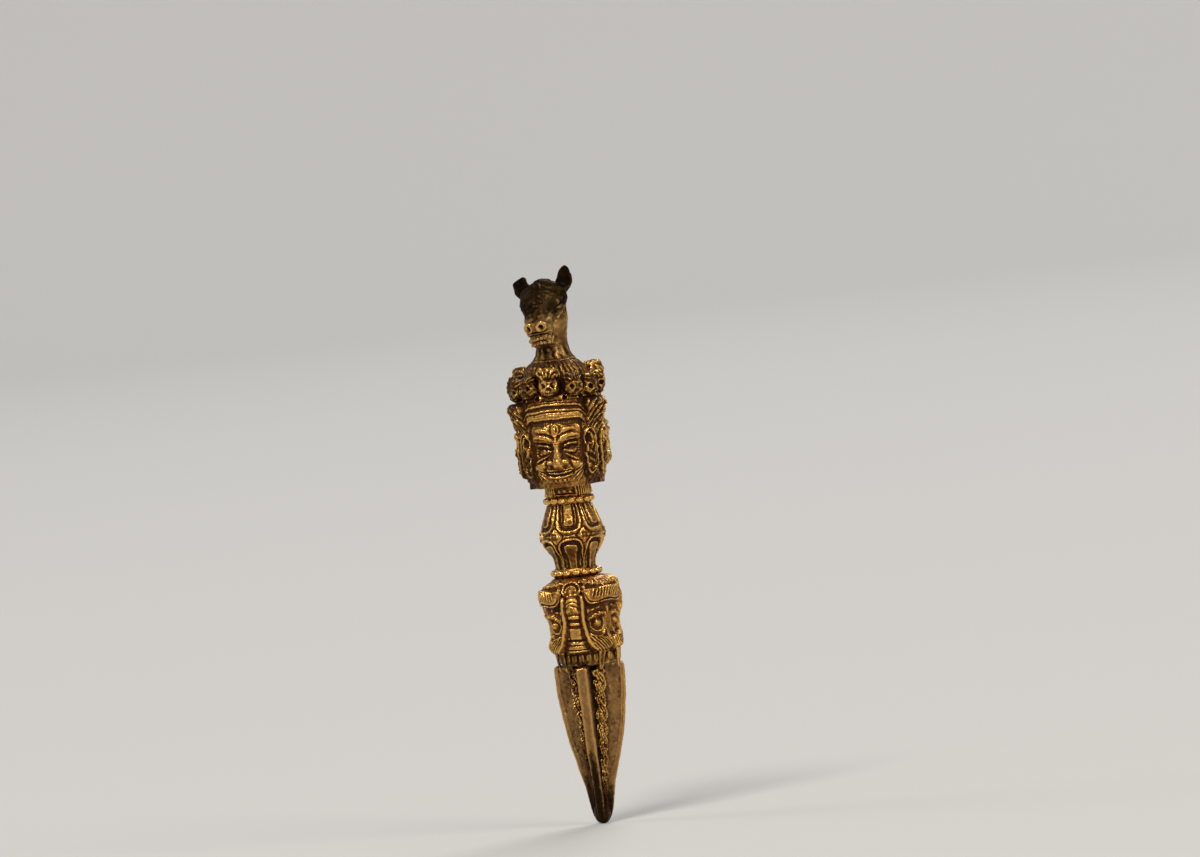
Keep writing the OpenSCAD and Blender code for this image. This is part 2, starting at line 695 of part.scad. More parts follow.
module horse_head() {
    color(dark_gilt) translate([0, 0, z_horse]) union() {
        loft(horse_rings([
            [0, 0, throat_r, throat_r, 0], [0.15, 1.5, 2.2, 2.35, 0], [0.5, 3.2, 2.45, 2.7, 0],
            [0.9, 5, 2.4, 2.7, 0], [1.1, 6.8, 2.2, 2.3, 0], [0.9, 8.2, 1.5, 1.6, 0],
            [0.7, 8.8, 0.6, 0.7, 0]
        ], 16));
        rotate([0, 0, horse_turn]) translate([0, 0, poll_z]) rotate([0, horse_tilt, 0])
        translate([0, 0, -poll_z]) {
            loft(horse_rings([
                [-4.5, 1.75, 0.9, 0.75, -35], [-4.4, 1.95, 1.5, 1.2, -36], [-4, 2.4, 1.85, 1.5, -40],
                [-3.3, 3.15, 1.75, 1.5, -42], [-2.5, 4, 1.85, 1.7, -44], [-1.7, 4.9, 2.25, 2, -45],
                [-0.9, 5.8, 2.65, 2.25, -47], [-0.1, 6.8, 2.7, 2.2, -50], [0.5, 7.7, 2.2, 1.7, -55],
                [0.8, 8.3, 1.2, 0.9, -60]
            ], 14));
            loft(horse_rings([
                [-4.15, -0.4, 0.8, 0.3, -40], [-3.9, -0.1, 1.35, 0.6, -40], [-3.2, 0.7, 1.4, 0.8, -42],
                [-2.1, 1.9, 1.5, 1.1, -44], [-1, 3.2, 1.55, 1.2, -46]
            ], 12));
            for (side = [-1, 1]) {
                horse_ear(side);
                translate([side * 1.85, -2.2, 5.4 * horse_k]) sphere(r = 0.6, $fn = 12);
                translate([side * 0.95, -4.7, 2.5 * horse_k]) sphere(r = 0.62, $fn = 12);
            }
            translate([0, -0.5, 8.25 * horse_k]) sphere(r = 1.15, $fn = 12);
        }
    }
}

core_rod();
jaw_pin();
finial_pin();
blade();
serpents_right();
serpents_back();
serpents_left();
jaw_collar();
teeth();
tusks();
makara_core();
trunk_front();
trunk_right();
trunk_left();
cheek_right();
cheek_back();
cheek_left();
lower_bead_ring();
grip_lower();
grip_upper();
grip_studs();
upper_bead_ring();
neck_collar();
head_core();
face_front();
face_right();
face_left();
ears();
locks();
diadems();
crown_drum();
skulls();
hair_dome();
finial_socket();
horse_head();
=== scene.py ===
"""Looks of a small three-edged ritual dagger, cast in metal and gilt.

Lengths are in millimetres until piece() puts them into a mesh in metres; lamps and
camera are placed in metres. Angles go round the axis in degrees, from the front (-Y)
towards +X.
"""

import math

import bpy
import numpy as np
from mathutils import Matrix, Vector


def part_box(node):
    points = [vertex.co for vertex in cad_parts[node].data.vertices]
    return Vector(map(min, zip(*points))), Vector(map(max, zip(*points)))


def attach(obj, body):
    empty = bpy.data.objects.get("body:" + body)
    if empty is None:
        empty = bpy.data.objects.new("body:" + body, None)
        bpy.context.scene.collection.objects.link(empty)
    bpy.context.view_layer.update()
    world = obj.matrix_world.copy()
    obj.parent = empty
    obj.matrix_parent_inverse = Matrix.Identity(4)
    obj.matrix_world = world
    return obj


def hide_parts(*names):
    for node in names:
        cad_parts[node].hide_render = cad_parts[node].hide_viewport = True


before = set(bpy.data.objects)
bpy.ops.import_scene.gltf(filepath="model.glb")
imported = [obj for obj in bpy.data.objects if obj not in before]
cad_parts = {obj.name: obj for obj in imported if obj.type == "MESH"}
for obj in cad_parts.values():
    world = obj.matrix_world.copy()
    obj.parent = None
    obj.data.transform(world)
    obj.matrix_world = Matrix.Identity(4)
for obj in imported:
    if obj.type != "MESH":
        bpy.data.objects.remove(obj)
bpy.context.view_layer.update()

MM = 0.001
TAU = 2 * math.pi


def span(node):
    """Lowest and highest height of a CAD node, in millimetres."""
    low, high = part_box(node)
    return low.z / MM, high.z / MM


Z_JAW, Z_MAKARA = span("jaw_collar")
Z_BEAD_LOW, Z_GRIP = span("lower_bead_ring")
Z_GIRDLE = span("grip_lower")[1]
Z_BEAD_HIGH, Z_NECK = span("upper_bead_ring")
Z_HEAD = span("neck_collar")[1]
Z_CROWN = span("head_core")[1]
Z_DOME, Z_FINIAL = span("hair_dome")
Z_HORSE = span("finial_socket")[1]
CORE_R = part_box("head_core")[1].x / MM + 0.03
MAKARA_CORE_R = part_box("makara_core")[1].x / MM + 0.03
# Radii of the rod's bore and of the jaw collar's bore round the blade's spigot
BORE_R, SPIGOT_BORE_R = 0.93, 2.43
THIRDS = (0, 120, 240)
# Half of a trunk's and of a face's share of the circle, in degrees
TRUNK_HALF, FACE_HALF = 16, 38
# How far the sea-monster head and the grip are turned, in degrees
MAKARA_TURN, GRIP_TURN = -3.3, 2
# Latitude of a round form's last row, just short of its pole: a fan closes it.
POLE = 1.54


# Curves and drawings

def bell(v, width=1, power=2):
    """exp(-(v / width)^power): 1 at nought and falling away from it."""
    return np.exp(-(v / width) ** power)


def wave(v, length=1, phase=0):
    """Cosine that goes round once in each length, moved on by a phase in radians."""
    return np.cos(TAU * v / length + phase)


def smooth(x, table):
    """Value at x of the monotone cubic through the table's (x, value) points."""
    t = np.asarray(table, float)
    xs, ys = t[:, 0], t[:, 1]
    step = np.diff(xs)
    rise = np.diff(ys) / step
    slope = np.zeros_like(ys)
    same = rise[:-1] * rise[1:] > 0
    total = np.where(same, rise[:-1] + rise[1:], 1)
    slope[1:-1] = np.where(same, 2 * rise[:-1] * rise[1:] / total, 0)
    i = np.clip(np.searchsorted(xs, x) - 1, 0, len(step) - 1)
    u = np.clip((x - xs[i]) / step[i], 0, 1)
    return (
        (1 + 2 * u) * (1 - u) ** 2 * ys[i] + u * (1 - u) ** 2 * step[i] * slope[i]
        + u * u * (3 - 2 * u) * ys[i + 1] + u * u * (u - 1) * step[i] * slope[i + 1]
    )


def flowing(points, n=6):
    """Catmull-Rom curve through the points, n steps from each to the next."""
    p = np.asarray(points, float)
    if len(p) < 3:
        return p
    q = np.vstack([2 * p[0] - p[1], p, 2 * p[-1] - p[-2]])
    t = np.linspace(0, 1, n, endpoint=False)[:, None]
    parts = [
        0.5 * (2 * b + (c - a) * t + (2 * a - 5 * b + 4 * c - d) * t ** 2
               + (3 * b - a - 3 * c + d) * t ** 3)
        for a, b, c, d in zip(q[:-3], q[1:-2], q[2:-1], q[3:])
    ]
    return np.vstack(parts + [p[-1:]])


def to_path(where, path):
    """Distance from each point to a path, and the share of the path at the nearest place."""
    best = np.full(where.shape[:-1], 1e9)
    share = np.zeros(where.shape[:-1])
    for i, (a, b) in enumerate(zip(path[:-1], path[1:])):
        d = b - a
        t = np.clip((where - a) @ d / (d @ d), 0, 1)
        gap = np.linalg.norm(where - a - t[..., None] * d, axis=-1)
        near = gap < best
        best = np.where(near, gap, best)
        share = np.where(near, (i + t) / (len(path) - 1), share)
    return best, share


def ramp(x, low, high):
    """0 below low, 1 above high, and 3t^2 - 2t^3 between."""
    t = np.clip((x - low) / (high - low), 0, 1)
    return t * t * (3 - 2 * t)


class Drawing:
    """Heights h over a flat sheet: x across and y up. It is half of a pattern that repeats
    round the axis, so a line that starts or ends at a side runs on into its mirror image."""

    def __init__(self, width, height, nx, ny):
        self.width = width
        self.x, self.y = np.meshgrid(np.linspace(0, width, nx + 1), np.linspace(0, height, ny + 1))
        self.at = np.stack([self.x, self.y], -1)
        self.h = np.zeros_like(self.x)

    def near(self, path, reach):
        """Rows and columns of the sheet within reach of a path."""
        (x0, y0), (x1, y1) = path.min(0) - reach, path.max(0) + reach
        cols = np.searchsorted(self.x[0], [x0, x1])
        rows = np.searchsorted(self.y[:, 0], [y0, y1])
        return slice(*rows), slice(*cols)

    def lines(self, *strokes, power=2, fade=0.18):
        """Each stroke (half-width w, height k, points...) adds k exp(-(d / w)^power) at the
        distance d from its curve, and fades out towards its free ends."""
        for w, k, *points in strokes:
            path = flowing(points)
            part = self.near(path, 2.4 * w)
            if self.x[part].size == 0:
                continue
            d, t = to_path(self.at[part], path)
            end = np.ones_like(t)
            for point, run in ((points[0], t), (points[-1], 1 - t)):
                if fade and 0.02 < point[0] < self.width - 0.02:
                    end = end * ramp(run, -0.25 * fade, fade)
            self.h[part] += k * end * bell(d, w, power)

    def hills(self, *rows, power=2):
        """Each row (x, y, a, b, k) adds k exp(-r^power), r the distance measured in a and b."""
        for x, y, a, b, k in rows:
            r = np.hypot((self.x - x) / a, (self.y - y) / b)
            self.h += k * bell(r, power=power)

    def inside(self, outline, soft=0.12):
        """1 inside a closed curve through the points, 0 outside, over a soft edge."""
        path = flowing(list(outline) + [outline[0]])
        d, _ = to_path(self.at, path)
        crossings = np.zeros(self.x.shape, int)
        for a, b in zip(path[:-1], path[1:]):
            if a[1] != b[1]:
                spans = (a[1] > self.y) != (b[1] > self.y)
                x = a[0] + (self.y - a[1]) / (b[1] - a[1]) * (b[0] - a[0])
                crossings += spans & (self.x < x)
        side = np.where(crossings % 2 == 1, d, -d)
        return ramp(side, -soft, soft)


def all_round(half, folds):
    """Half of a pattern, then its mirror image, repeated round the whole circle."""
    return np.tile(np.hstack([half, half[:, -2:0:-1]]), (1, folds))


def angles(cols):
    """Even angles round the axis, one for each column, in degrees."""
    return np.arange(cols) * 360 / cols


def standing(r, a, z):
    """Points (r sin a, -r cos a, z)."""
    a = np.radians(a)
    r, a, z = np.broadcast_arrays(r, a, z)
    return np.stack([r * np.sin(a), -r * np.cos(a), z], -1)


def turned(p, degrees):
    """The points turned round the axis, from the front towards +X."""
    c, s = math.cos(math.radians(degrees)), math.sin(math.radians(degrees))
    return np.stack([c * p[..., 0] - s * p[..., 1], s * p[..., 0] + c * p[..., 1], p[..., 2]], -1)


def globe(rows, cols):
    """Latitudes from pole to pole, in a column, and angles round the poles, in a row."""
    return np.linspace(-POLE, POLE, rows)[:, None], np.arange(cols)[None] * TAU / cols


def grain(p, size, seed):
    """Sum of plane waves about `size` mm long in random directions, mostly within -1 to 1."""
    waves = 16
    rng = np.random.default_rng(seed)
    k = rng.normal(size=(waves, p.shape[-1]))
    k *= TAU / size * rng.uniform(0.65, 1.4, (waves, 1)) / np.linalg.norm(k, axis=1)[:, None]
    return np.sin(p @ k.T + rng.uniform(0, TAU, waves)).sum(-1) / math.sqrt(waves)


def handmade(p, amount=0.06, seed=11):
    """Shifts each point by smooth noise: the small unevenness of a wax cut by hand. One seed
    serves neighbours that meet, so that their joint stays shut."""
    drift = [
        amount * grain(p, 3.2, seed + i) + 0.4 * amount * grain(p, 0.9, seed + 3 + i)
        for i in range(3)]
    return p + np.stack(drift, -1)


def widened(p, axis, n, wrap):
    """The grid with n more lines at each end along an axis: it wraps round, or repeats its edge."""
    if wrap:
        return np.concatenate([p.take(range(-n, 0), axis), p, p.take(range(n), axis)], axis)
    pad = [(0, 0)] * p.ndim
    pad[axis] = (n, n)
    return np.pad(p, pad, mode="edge")


def softened(p, reach, axis, wrap):
    """Gaussian average along one axis of the grid, reach in grid steps."""
    n = min(max(1, math.ceil(2.5 * reach)), p.shape[axis] - 1)
    weights = np.exp(-0.5 * (np.arange(-n, n + 1) / reach) ** 2)
    wide = widened(p, axis, n, wrap)
    size = p.shape[axis]
    out = sum(w * wide.take(range(i, i + size), axis) for i, w in enumerate(weights))
    return out / weights.sum()


def facing(p, wrap_u, wrap_v):
    """Unit normals of a grid: the cross product of its two directions."""
    u = np.diff(widened(p, 1, 1, wrap_u), axis=1)
    v = np.diff(widened(p, 0, 1, wrap_v), axis=0)
    n = np.cross(u[:, 1:] + u[:, :-1], v[1:] + v[:-1])
    return n / np.maximum(np.linalg.norm(n, axis=-1, keepdims=True), 1e-12)


def marks(p, wrap_u, wrap_v=False):
    """How far each point stands out of the surface softened over 0.16 mm (crest, in units of
    0.05 mm) and how deep it lies under that softened over 0.6 mm (hollow, of 0.22 mm)."""
    n = facing(p, wrap_u, wrap_v)
    du = np.linalg.norm(np.diff(p, axis=1), axis=-1).mean()
    dv = np.linalg.norm(np.diff(p, axis=0), axis=-1).mean()

    def out_of(reach):
        s = softened(softened(p, reach / du, 1, wrap_u), reach / dv, 0, wrap_v)
        return ((p - s) * n).sum(-1)

    return out_of(0.16) / 0.05, -out_of(0.6) / 0.22


def weathered(p, blur, *layers):
    """A relief after its hand work: softened by blur steps round and 0.6 steps up, then each
    layer (k, size, seed) moves it along its normal by k times the grain of that size."""
    p = softened(softened(handmade(p), blur, 1, True), 0.6, 0, False)
    rough = sum(k * grain(p, size, seed) for k, size, seed in layers)
    return p + facing(p, True, False) * rough[..., None]


# Meshes

# Edges with a larger angle than this, in degrees, are shaded sharp
CREASE = 50


def put(name, data):
    """A new object in the scene, with the data."""
    obj = bpy.data.objects.new(name, data)
    bpy.context.scene.collection.objects.link(obj)
    return obj


# Height, then how much soot and dirt lies on the metal there: most at the blade's tip and
# on top of the horse's head. piece() makes it thicker on the left than on the right, which paints shade on
# the left side.
SOOT = [
    [0, 1.3], [1.5, 1.2], [4, 1.0], [7, 0.76], [10, 0.58], [12.5, 0.34], [18, 0.24], [22.4, 0.4],
    [23.2, 1.0], [24.6, 1.0], [25.4, 0.25], [28, 0.2], [34, 0.2], [37, 0.72], [41.5, 0.66], [46, 0.62],
    [49, 0.45], [53.5, 0.42], [55.5, 0.2], [58.5, 0.1], [60.9, 0.4], [61.3, 0.78], [64, 0.8], [66, 0.75],
    [67, 0.56], [69, 0.5], [70.2, 0.4], [72, 0.34], [73.2, 0.75], [74.5, 1.25], [76, 1.7], [80, 1.9],
]


def shell(p, around=True, over=False, wear_and_glint=None):
    """A grid of points, closed round its columns where `around` and its rows where `over`."""
    crest, hollow = wear_and_glint or marks(p, around, over)
    return {"p": p, "around": around, "over": over, "crest": crest, "hollow": hollow}


def walled(p, wear_and_glint, r, cols=None, rows=None):
    """Part of a relief, with its inner wall at the radius r: the grid's last two rows."""
    crest, hollow = wear_and_glint
    if rows is not None:
        p, crest, hollow = p[rows], crest[rows], hollow[rows]
    around = cols is None
    if not around:
        p, crest, hollow = p[:, cols], crest[:, cols], hollow[:, cols]

    def inward(row):
        flat = row[:, :2] / np.linalg.norm(row[:, :2], axis=1, keepdims=True)
        return np.c_[flat * r, row[:, 2]]

    p = np.concatenate([p, inward(p[-1])[None], inward(p[0])[None]])
    crest, hollow = (np.pad(m, ((0, 2), (0, 0))) for m in (crest, hollow))
    return shell(p, around, True, (crest, hollow))


def ring_of(p, r=BORE_R):
    """The grid after its hand work, as a ring with its inner wall at the radius r."""
    p = handmade(p)
    return walled(p, marks(p, True), r)


def columns(p, low, high):
    """Column numbers of the grid from the angle low to high, round past the front if need be."""
    n = p.shape[1]
    return np.arange(round(low * n / 360), round(high * n / 360) + 1) % n


def piece(node, shells, slot="gilt", smoked=0.0, smudges_and_highlights=()):
    """A closed mesh from grids: four-sided faces, and a fan to the middle or one flat face at
    each open end. It rides on the body and stands for the CAD node. smoked adds to its soot,
    and each smudge (k, centre, reach) adds k exp(-r^2), r the distance measured in its reach;
    a negative k lightens the colour, which over the faces' brows is a painted highlight."""
    points, crest, hollow, faces, corners = [], [], [], [], []
    base = 0
    for s in shells:
        p = s["p"]
        rows, cols = p.shape[:2]
        index = base + np.arange(rows * cols).reshape(rows, cols)
        points.append(p.reshape(-1, 3))
        crest.append(s["crest"].ravel())
        hollow.append(s["hollow"].ravel())
        base += rows * cols
        g = index
        if s["around"]:
            g = np.c_[g, g[:, :1]]
        if s["over"]:
            g = np.r_[g, g[:1]]
        quads = np.stack([g[:-1, :-1], g[:-1, 1:], g[1:, 1:], g[1:, :-1]], -1).reshape(-1, 4)
        faces.append(quads.ravel())
        corners.append(np.full(len(quads), 4))
        if not s["around"]:
            for side in (index[:, 0], index[::-1, -1]):
                faces.append(side)
                corners.append(np.array([rows]))
        if not s["over"]:
            for ring in (g[0, ::-1], g[-1]):
                fan = np.stack([ring[:-1], ring[1:], np.full(len(ring) - 1, base)], -1)
                faces.append(fan.ravel())
                corners.append(np.full(len(fan), 3))
                points.append(p.reshape(-1, 3)[ring[:-1] - index[0, 0]].mean(0)[None])
                crest.append(np.zeros(1))
                hollow.append(np.zeros(1))
                base += 1
    points = np.concatenate(points) * MM
    faces, corners = np.concatenate(faces), np.concatenate(corners)
    mesh = bpy.data.meshes.new(node + "_casting")
    mesh.vertices.add(len(points))
    mesh.vertices.foreach_set("co", points.ravel())
    mesh.loops.add(len(faces))
    mesh.loops.foreach_set("vertex_index", faces)
    mesh.polygons.add(len(corners))
    mesh.polygons.foreach_set("loop_start", np.cumsum(corners) - corners)
    mesh.update(calc_edges=True)
    crest, hollow = np.concatenate(crest), np.concatenate(hollow)
    # more soot colour on the left and less on the right: painted shade on the left side
    soot_and_shade = smooth(points[:, 2] / MM, SOOT) * (1 - 0.05 * points[:, 0] / MM) + smoked
    for k, centre, reach in smudges_and_highlights:
        soot_and_shade += k * np.exp(-(((points / MM - centre) / reach) ** 2).sum(1))
    for label, values in (("crest", crest), ("hollow", hollow), ("soot_and_shade", soot_and_shade)):
        layer = mesh.attributes.new(label, "FLOAT", "POINT")
        layer.data.foreach_set("value", values.clip(-2, 2).astype(np.float32))
    mesh.validate()
    mesh.shade_smooth()
    mesh.set_sharp_from_angle(angle=math.radians(CREASE))
    mesh.materials.append(FINISHES[slot])
    obj = put(node + "_casting", mesh)
    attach(obj, "root")
    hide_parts(node)


# Materials

def linear(code):
    """Linear RGBA of an sRGB hex colour."""
    s = np.array([int(code[i:i + 2], 16) for i in (1, 3, 5)]) / 255
    rgb = np.where(s <= 0.04045, s / 12.92, ((s + 0.055) / 1.055) ** 2.4)
    return (*(float(v) for v in rgb), 1.0)


def add(tree, kind, settings=None, **links):
    """A shader node of the kind, with its settings, and each named or numbered input set, or linked
    to a socket or to the first output of a node. An input is written as its name with _ for
    a space, or as i and its number."""
    n = tree.nodes.new("ShaderNode" + kind)
    for key, value in (settings or {}).items():
        setattr(n, key, value)
    for key, value in links.items():
        numbered = key[0] == "i" and key[1:].isdigit()
        socket = n.inputs[int(key[1:])] if numbered else n.inputs[key.replace("_", " ")]
        if isinstance(value, bpy.types.Node):
            value = next(o for o in value.outputs if o.enabled)
        if isinstance(value, bpy.types.NodeSocket):
            tree.links.new(value, socket)
        else:
            socket.default_value = value
    return n


# Settings of nodes: i0 i1 + i2, i0 - i1, a range with soft ends, and a mix of colours i6 and i7
TIMES_PLUS, LESS = {"operation": "MULTIPLY_ADD"}, {"operation": "SUBTRACT"}
EASED, OF_COLOURS = {"interpolation_type": "SMOOTHSTEP"}, {"data_type": "RGBA"}


def metal(name, bright, body, deep_and_shade, dirt_and_shade, roughness, tarnish=0.0, mottling=2.4, edge="#ffffff"):
    """Cast metal under patina, with painted light. Colours: bright on its rubbed crests, its specks
    and where its soot is below nought, which also paints highlights and glints there; body on
    plain surfaces; deep in shallow hollows and in light painted shade; dirt in the deepest
    hollows, in the darkest painted shade, which ambient occlusion gives in recesses and between
    parts, and where soot lies on it, with painted shade on its left side; and edge the tint of
    what it reflects at a grazing angle. roughness is that of its crests, tarnish darkens all of
    it, and mottling makes it patchy."""
    m = bpy.data.materials.new(name)
    m.use_nodes = True
    t = m.node_tree
    t.nodes.clear()
    place = add(t, "TexCoord").outputs["Object"]
    crest, hollow, soot_and_shade = (
        add(t, "Attribute", {"attribute_name": label}).outputs["Fac"]
        for label in ("crest", "hollow", "soot_and_shade"))
    # patches 2.4 mm, blotches 0.6 mm and specks 0.2 mm across
    cloud, blotch, speck = (
        add(t, "TexNoise", Vector=place, Scale=1000 / size, Detail=detail, Roughness=rough)
        for size, detail, rough in ((2.4, 3.0, 0.6), (0.6, 4.0, 0.65), (0.2, 2.0, 0.6)))
    # painted shade: ambient occlusion darkens the colour in recesses and between neighbouring parts
    shade = add(t, "AmbientOcclusion", {"samples": 6}, Distance=1.1 * MM).outputs["AO"]

    # the depth of a spot: its hollow, less its crest, plus painted shade where its neighbours shade it
    depth_and_shade = add(t, "Math", TIMES_PLUS, i0=crest, i1=-0.16, i2=hollow)
    shade = add(t, "Math", LESS, i0=0.8, i1=shade)
    depth_and_shade = add(t, "Math", TIMES_PLUS, i0=shade, i1=1.6, i2=depth_and_shade)
    mottle = add(t, "Math", LESS, i0=blotch, i1=0.5 - 0.4 * tarnish)
    depth_and_shade = add(t, "Math", TIMES_PLUS, i0=mottle, i1=mottling, i2=depth_and_shade)
    # soot colour: real soot and dirt, dirt in hollows, and the painted shade that piece() adds on the left
    smoke_and_shade = add(t, "Math", TIMES_PLUS, i0=mottle, i1=0.9, i2=soot_and_shade)
    smoke_and_shade = add(t, "Math", TIMES_PLUS, i0=hollow, i1=0.25, i2=smoke_and_shade)
    # rubbed crests are cleared of soot colour, which paints glints on them
    smoke_and_shade = add(t, "Math", TIMES_PLUS, i0=crest, i1=-0.2, i2=smoke_and_shade)
    smoke_and_shade = add(t, "MapRange", EASED, Value=smoke_and_shade, From_Min=0.2, From_Max=1.05, To_Max=0.95)
    shallow_and_shaded = add(t, "MapRange", EASED, Value=depth_and_shade, From_Min=-0.35, From_Max=0.55)
    deepest_and_shaded = add(t, "MapRange", EASED, Value=depth_and_shade, From_Min=0.35, From_Max=1.5)
    # bright colour: rubbed crests and specks, and metal whose soot is below nought; it also paints
    # highlights and glints there, and over the brows a painted highlight
    clean_and_highlit = add(t, "MapRange", Value=soot_and_shade, From_Min=0.0, From_Max=-1.0)
    rubbed_and_glint = add(t, "Math", TIMES_PLUS, i0=speck, i1=0.6, i2=crest)
    rubbed_and_glint = add(t, "Math", {"operation": "ADD"}, i0=rubbed_and_glint, i1=clean_and_highlit)
    rubbed_and_glint = add(t, "MapRange", EASED, Value=rubbed_and_glint, From_Min=0.35, From_Max=1.3)
    clear = add(t, "Math", LESS, i0=1.0, i1=deepest_and_shaded)
    wear_and_glint = add(t, "Math", {"operation": "MULTIPLY"}, i0=rubbed_and_glint, i1=clear)

    colour = add(t, "MapRange", Value=cloud, From_Min=0.38, From_Max=0.66, To_Max=0.55)
    colour = add(t, "Mix", OF_COLOURS, i0=colour, i6=linear(body), i7=linear(bright))
    for share, other in ((shallow_and_shaded, deep_and_shade), (wear_and_glint, bright), (deepest_and_shaded, dirt_and_shade), (smoke_and_shade, dirt_and_shade)):
        colour = add(t, "Mix", OF_COLOURS, i0=share, i6=colour, i7=linear(other))

    gloss = add(t, "MapRange", Value=depth_and_shade, From_Min=-0.5, From_Max=1.2, To_Min=roughness, To_Max=0.68)
    gloss = add(t, "Math", TIMES_PLUS, i0=wear_and_glint, i1=-0.08, i2=gloss)
    gloss = add(t, "Math", TIMES_PLUS, i0=smoke_and_shade, i1=0.1, i2=gloss)
    skin = add(t, "Math", TIMES_PLUS, i0=blotch, i1=2.0, i2=speck)
    bump = add(t, "Bump", Strength=0.6, Distance=0.05 * MM, Height=skin)
    solid = add(t, "MapRange", Value=deepest_and_shaded, To_Min=1.0, To_Max=0.3)
    s = add(t, "BsdfPrincipled", Base_Color=colour, Roughness=gloss, Metallic=solid, Normal=bump,
        Specular_Tint=linear(edge))
    add(t, "OutputMaterial", Surface=s)
    return m


# Fire-gilt bronze, cast and then gilded: yellow on its rubbed crests, with painted highlights there, brown
# in shallow hollows and painted half-shade, and umber dirt and painted shade in its recesses; the eye reads
# age and handling.
gilt = metal("fire_gilt_bronze", "#e3b25e", "#8c5a27", "#693b19", "#43260f", 0.32, 0.16)
# The same gilding worn thin over the blade: a duller brass with brown oxide.
worn_brass = metal("worn_gilt_brass", "#c19357", "#825f3a", "#553a25", "#1b1008", 0.35, 0.24, 1.3)
# Gilding gone dark on the finial, which smoke and fingers reached most.
dark_gilt = metal("smoked_gilt_bronze", "#dcb06a", "#7c582f", "#4a2f19", "#110a05", 0.32, 0.22,
    edge="#c8c8c8")
# Ground steel of the rod and pins: plain grey with a dull skin.
steel = metal("ground_steel", "#c9c9c6", "#b4b4b2", "#8b8a88", "#4c4a47", 0.4)
FINISHES = {"gilt": gilt, "blade_gilt": worn_brass, "horse_gilt": dark_gilt}
for inner, finish in (
        ("core_rod", steel), ("jaw_pin", steel), ("finial_pin", steel),
        ("makara_core", gilt), ("head_core", gilt)):
    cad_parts[inner].data.materials.clear()
    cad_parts[inner].data.materials.append(finish)


# Blade

# Height, then a fin's reach, a fin's thickness and the radius of the flutes' floor there
FIN_REACH = [
    [0, 0.3], [0.3, 0.8], [1, 1.25], [2, 1.55], [3, 1.78], [5, 2.2], [8, 3.06], [11, 3.94],
    [14, 4.66], [17, 5.18], [20, 5.46], [22, 5.52], [22.5, 5.48], [22.78, 5.32], [22.9, 5],
]
FIN_WIDTH = [[0, 0.5], [1.2, 1.0], [4, 1.16], [8, 1.3], [14, 1.42], [20, 1.5], [22.6, 1.48], [22.9, 1.2]]
FLUTE_FLOOR = [
    [0, 0.12], [0.1, 0.5], [0.35, 0.85], [0.8, 1.1], [1.4, 1.2], [2.6, 1.05], [5, 0.9], [8, 1.05],
    [11, 1.22], [14, 1.41], [17, 1.55], [20, 1.63], [22.9, 1.65],
]


def blade_grid():
    """Rings of a three-fin star. Half of a fin runs from its axis over the land (out = reach,
    across from 0 to half the width), down the side (across = half the width less a sunk panel
    and a border line) and along the flute's floor, an arc, to 60 degrees."""
    z = np.concatenate([np.linspace(0, 1, 16) ** 1.6, np.linspace(1, 22.3, 176)[1:],
        np.linspace(22.3, 22.9, 9)[1:]])[:, None]
    reach, half = smooth(z, FIN_REACH), smooth(z, FIN_WIDTH) / 2
    floor = smooth(z, FLUTE_FLOOR)
    root = np.sqrt(np.maximum(floor ** 2 - half ** 2, 0.01))
    land = np.linspace(0, 1, 9)[None]
    side = np.linspace(0, 1, 44)[None, 1:]
    arc = np.linspace(0, 1, 10)[None, 1:]
    corner = 0.14
    across = [land * (half - corner * 0.3)]
    out = [reach + 0.05 * (1 - land ** 2) - corner * 0.3 * land ** 6]
    s = reach - corner - side * (reach - corner - root)
    border = reach - 0.78
    panel = ramp(border - s, 0, 0.12) * ramp(s - root - 0.25, 0, 0.3)
    line = bell(s - border + 0.02, 0.06) + 0.7 * bell(s - reach + 0.42, 0.04)
    keep = ramp(z, 6.5, 10.5) * ramp(22.7 - z, 0, 0.5)
    across.append(half - keep * (0.11 * panel + 0.05 * line) + 0 * s)
    out.append(s)
    start = np.arctan2(half, root)
    theta = start + arc * (math.pi / 3 - start)
    across.append(np.sin(theta) * floor)
    out.append(np.cos(theta) * floor)
    across, out = np.hstack(across), np.hstack(out)
    lift = np.maximum(floor / np.maximum(np.hypot(across, out), 1e-6), 1)
    across, out = across * lift, out * lift
    across = np.hstack([-across[:, :0:-1], across[:, :-1]])
    out = np.hstack([out[:, :0:-1], out[:, :-1]])
    one = np.stack([across, -out, z + 0 * out], -1)
    top = one[-1:] * [0.45, 0.45, 1]
    one = np.concatenate([one, top, top + [0, 0, 1.4]])
    return np.concatenate([turned(one, a) for a in THIRDS], 1)


p = blade_grid()
p[:-2] = handmade(p[:-2], 0.035)
rough = 0.012 * grain(p[:-2], 0.7, 21) + 0.01 * grain(p[:-2], 0.3, 22)
p[:-2] += facing(p, True, False)[:-2] * rough[..., None]
piece("blade", [shell(p)], "blade_gilt", smudges_and_highlights=(
    (0.6, (-0.2, -4, 7), (0.9, 3.2, 4.5)), (-0.45, (2.6, 1.5, 8), (1.4, 3, 3.5)),
    (-0.35, (-2.6, 1.5, 8), (1.4, 3, 3.5)), (-0.3, (1.2, -0.7, 7), (0.8, 1.2, 2.8)),
    (0.35, (4.9, 2.9, 18), (0.7, 1.2, 7))))

# Height, then the size of a pair of serpents there against its full size
PAIR_SIZE = [[2.6, 0.2], [5, 0.4], [8, 0.6], [12, 0.78], [16, 0.9], [20.5, 1], [21.6, 1.12], [22.3, 0.8],
    [22.7, 0.35]]
# Height of one turn of the pair
PAIR_PITCH = 4.4


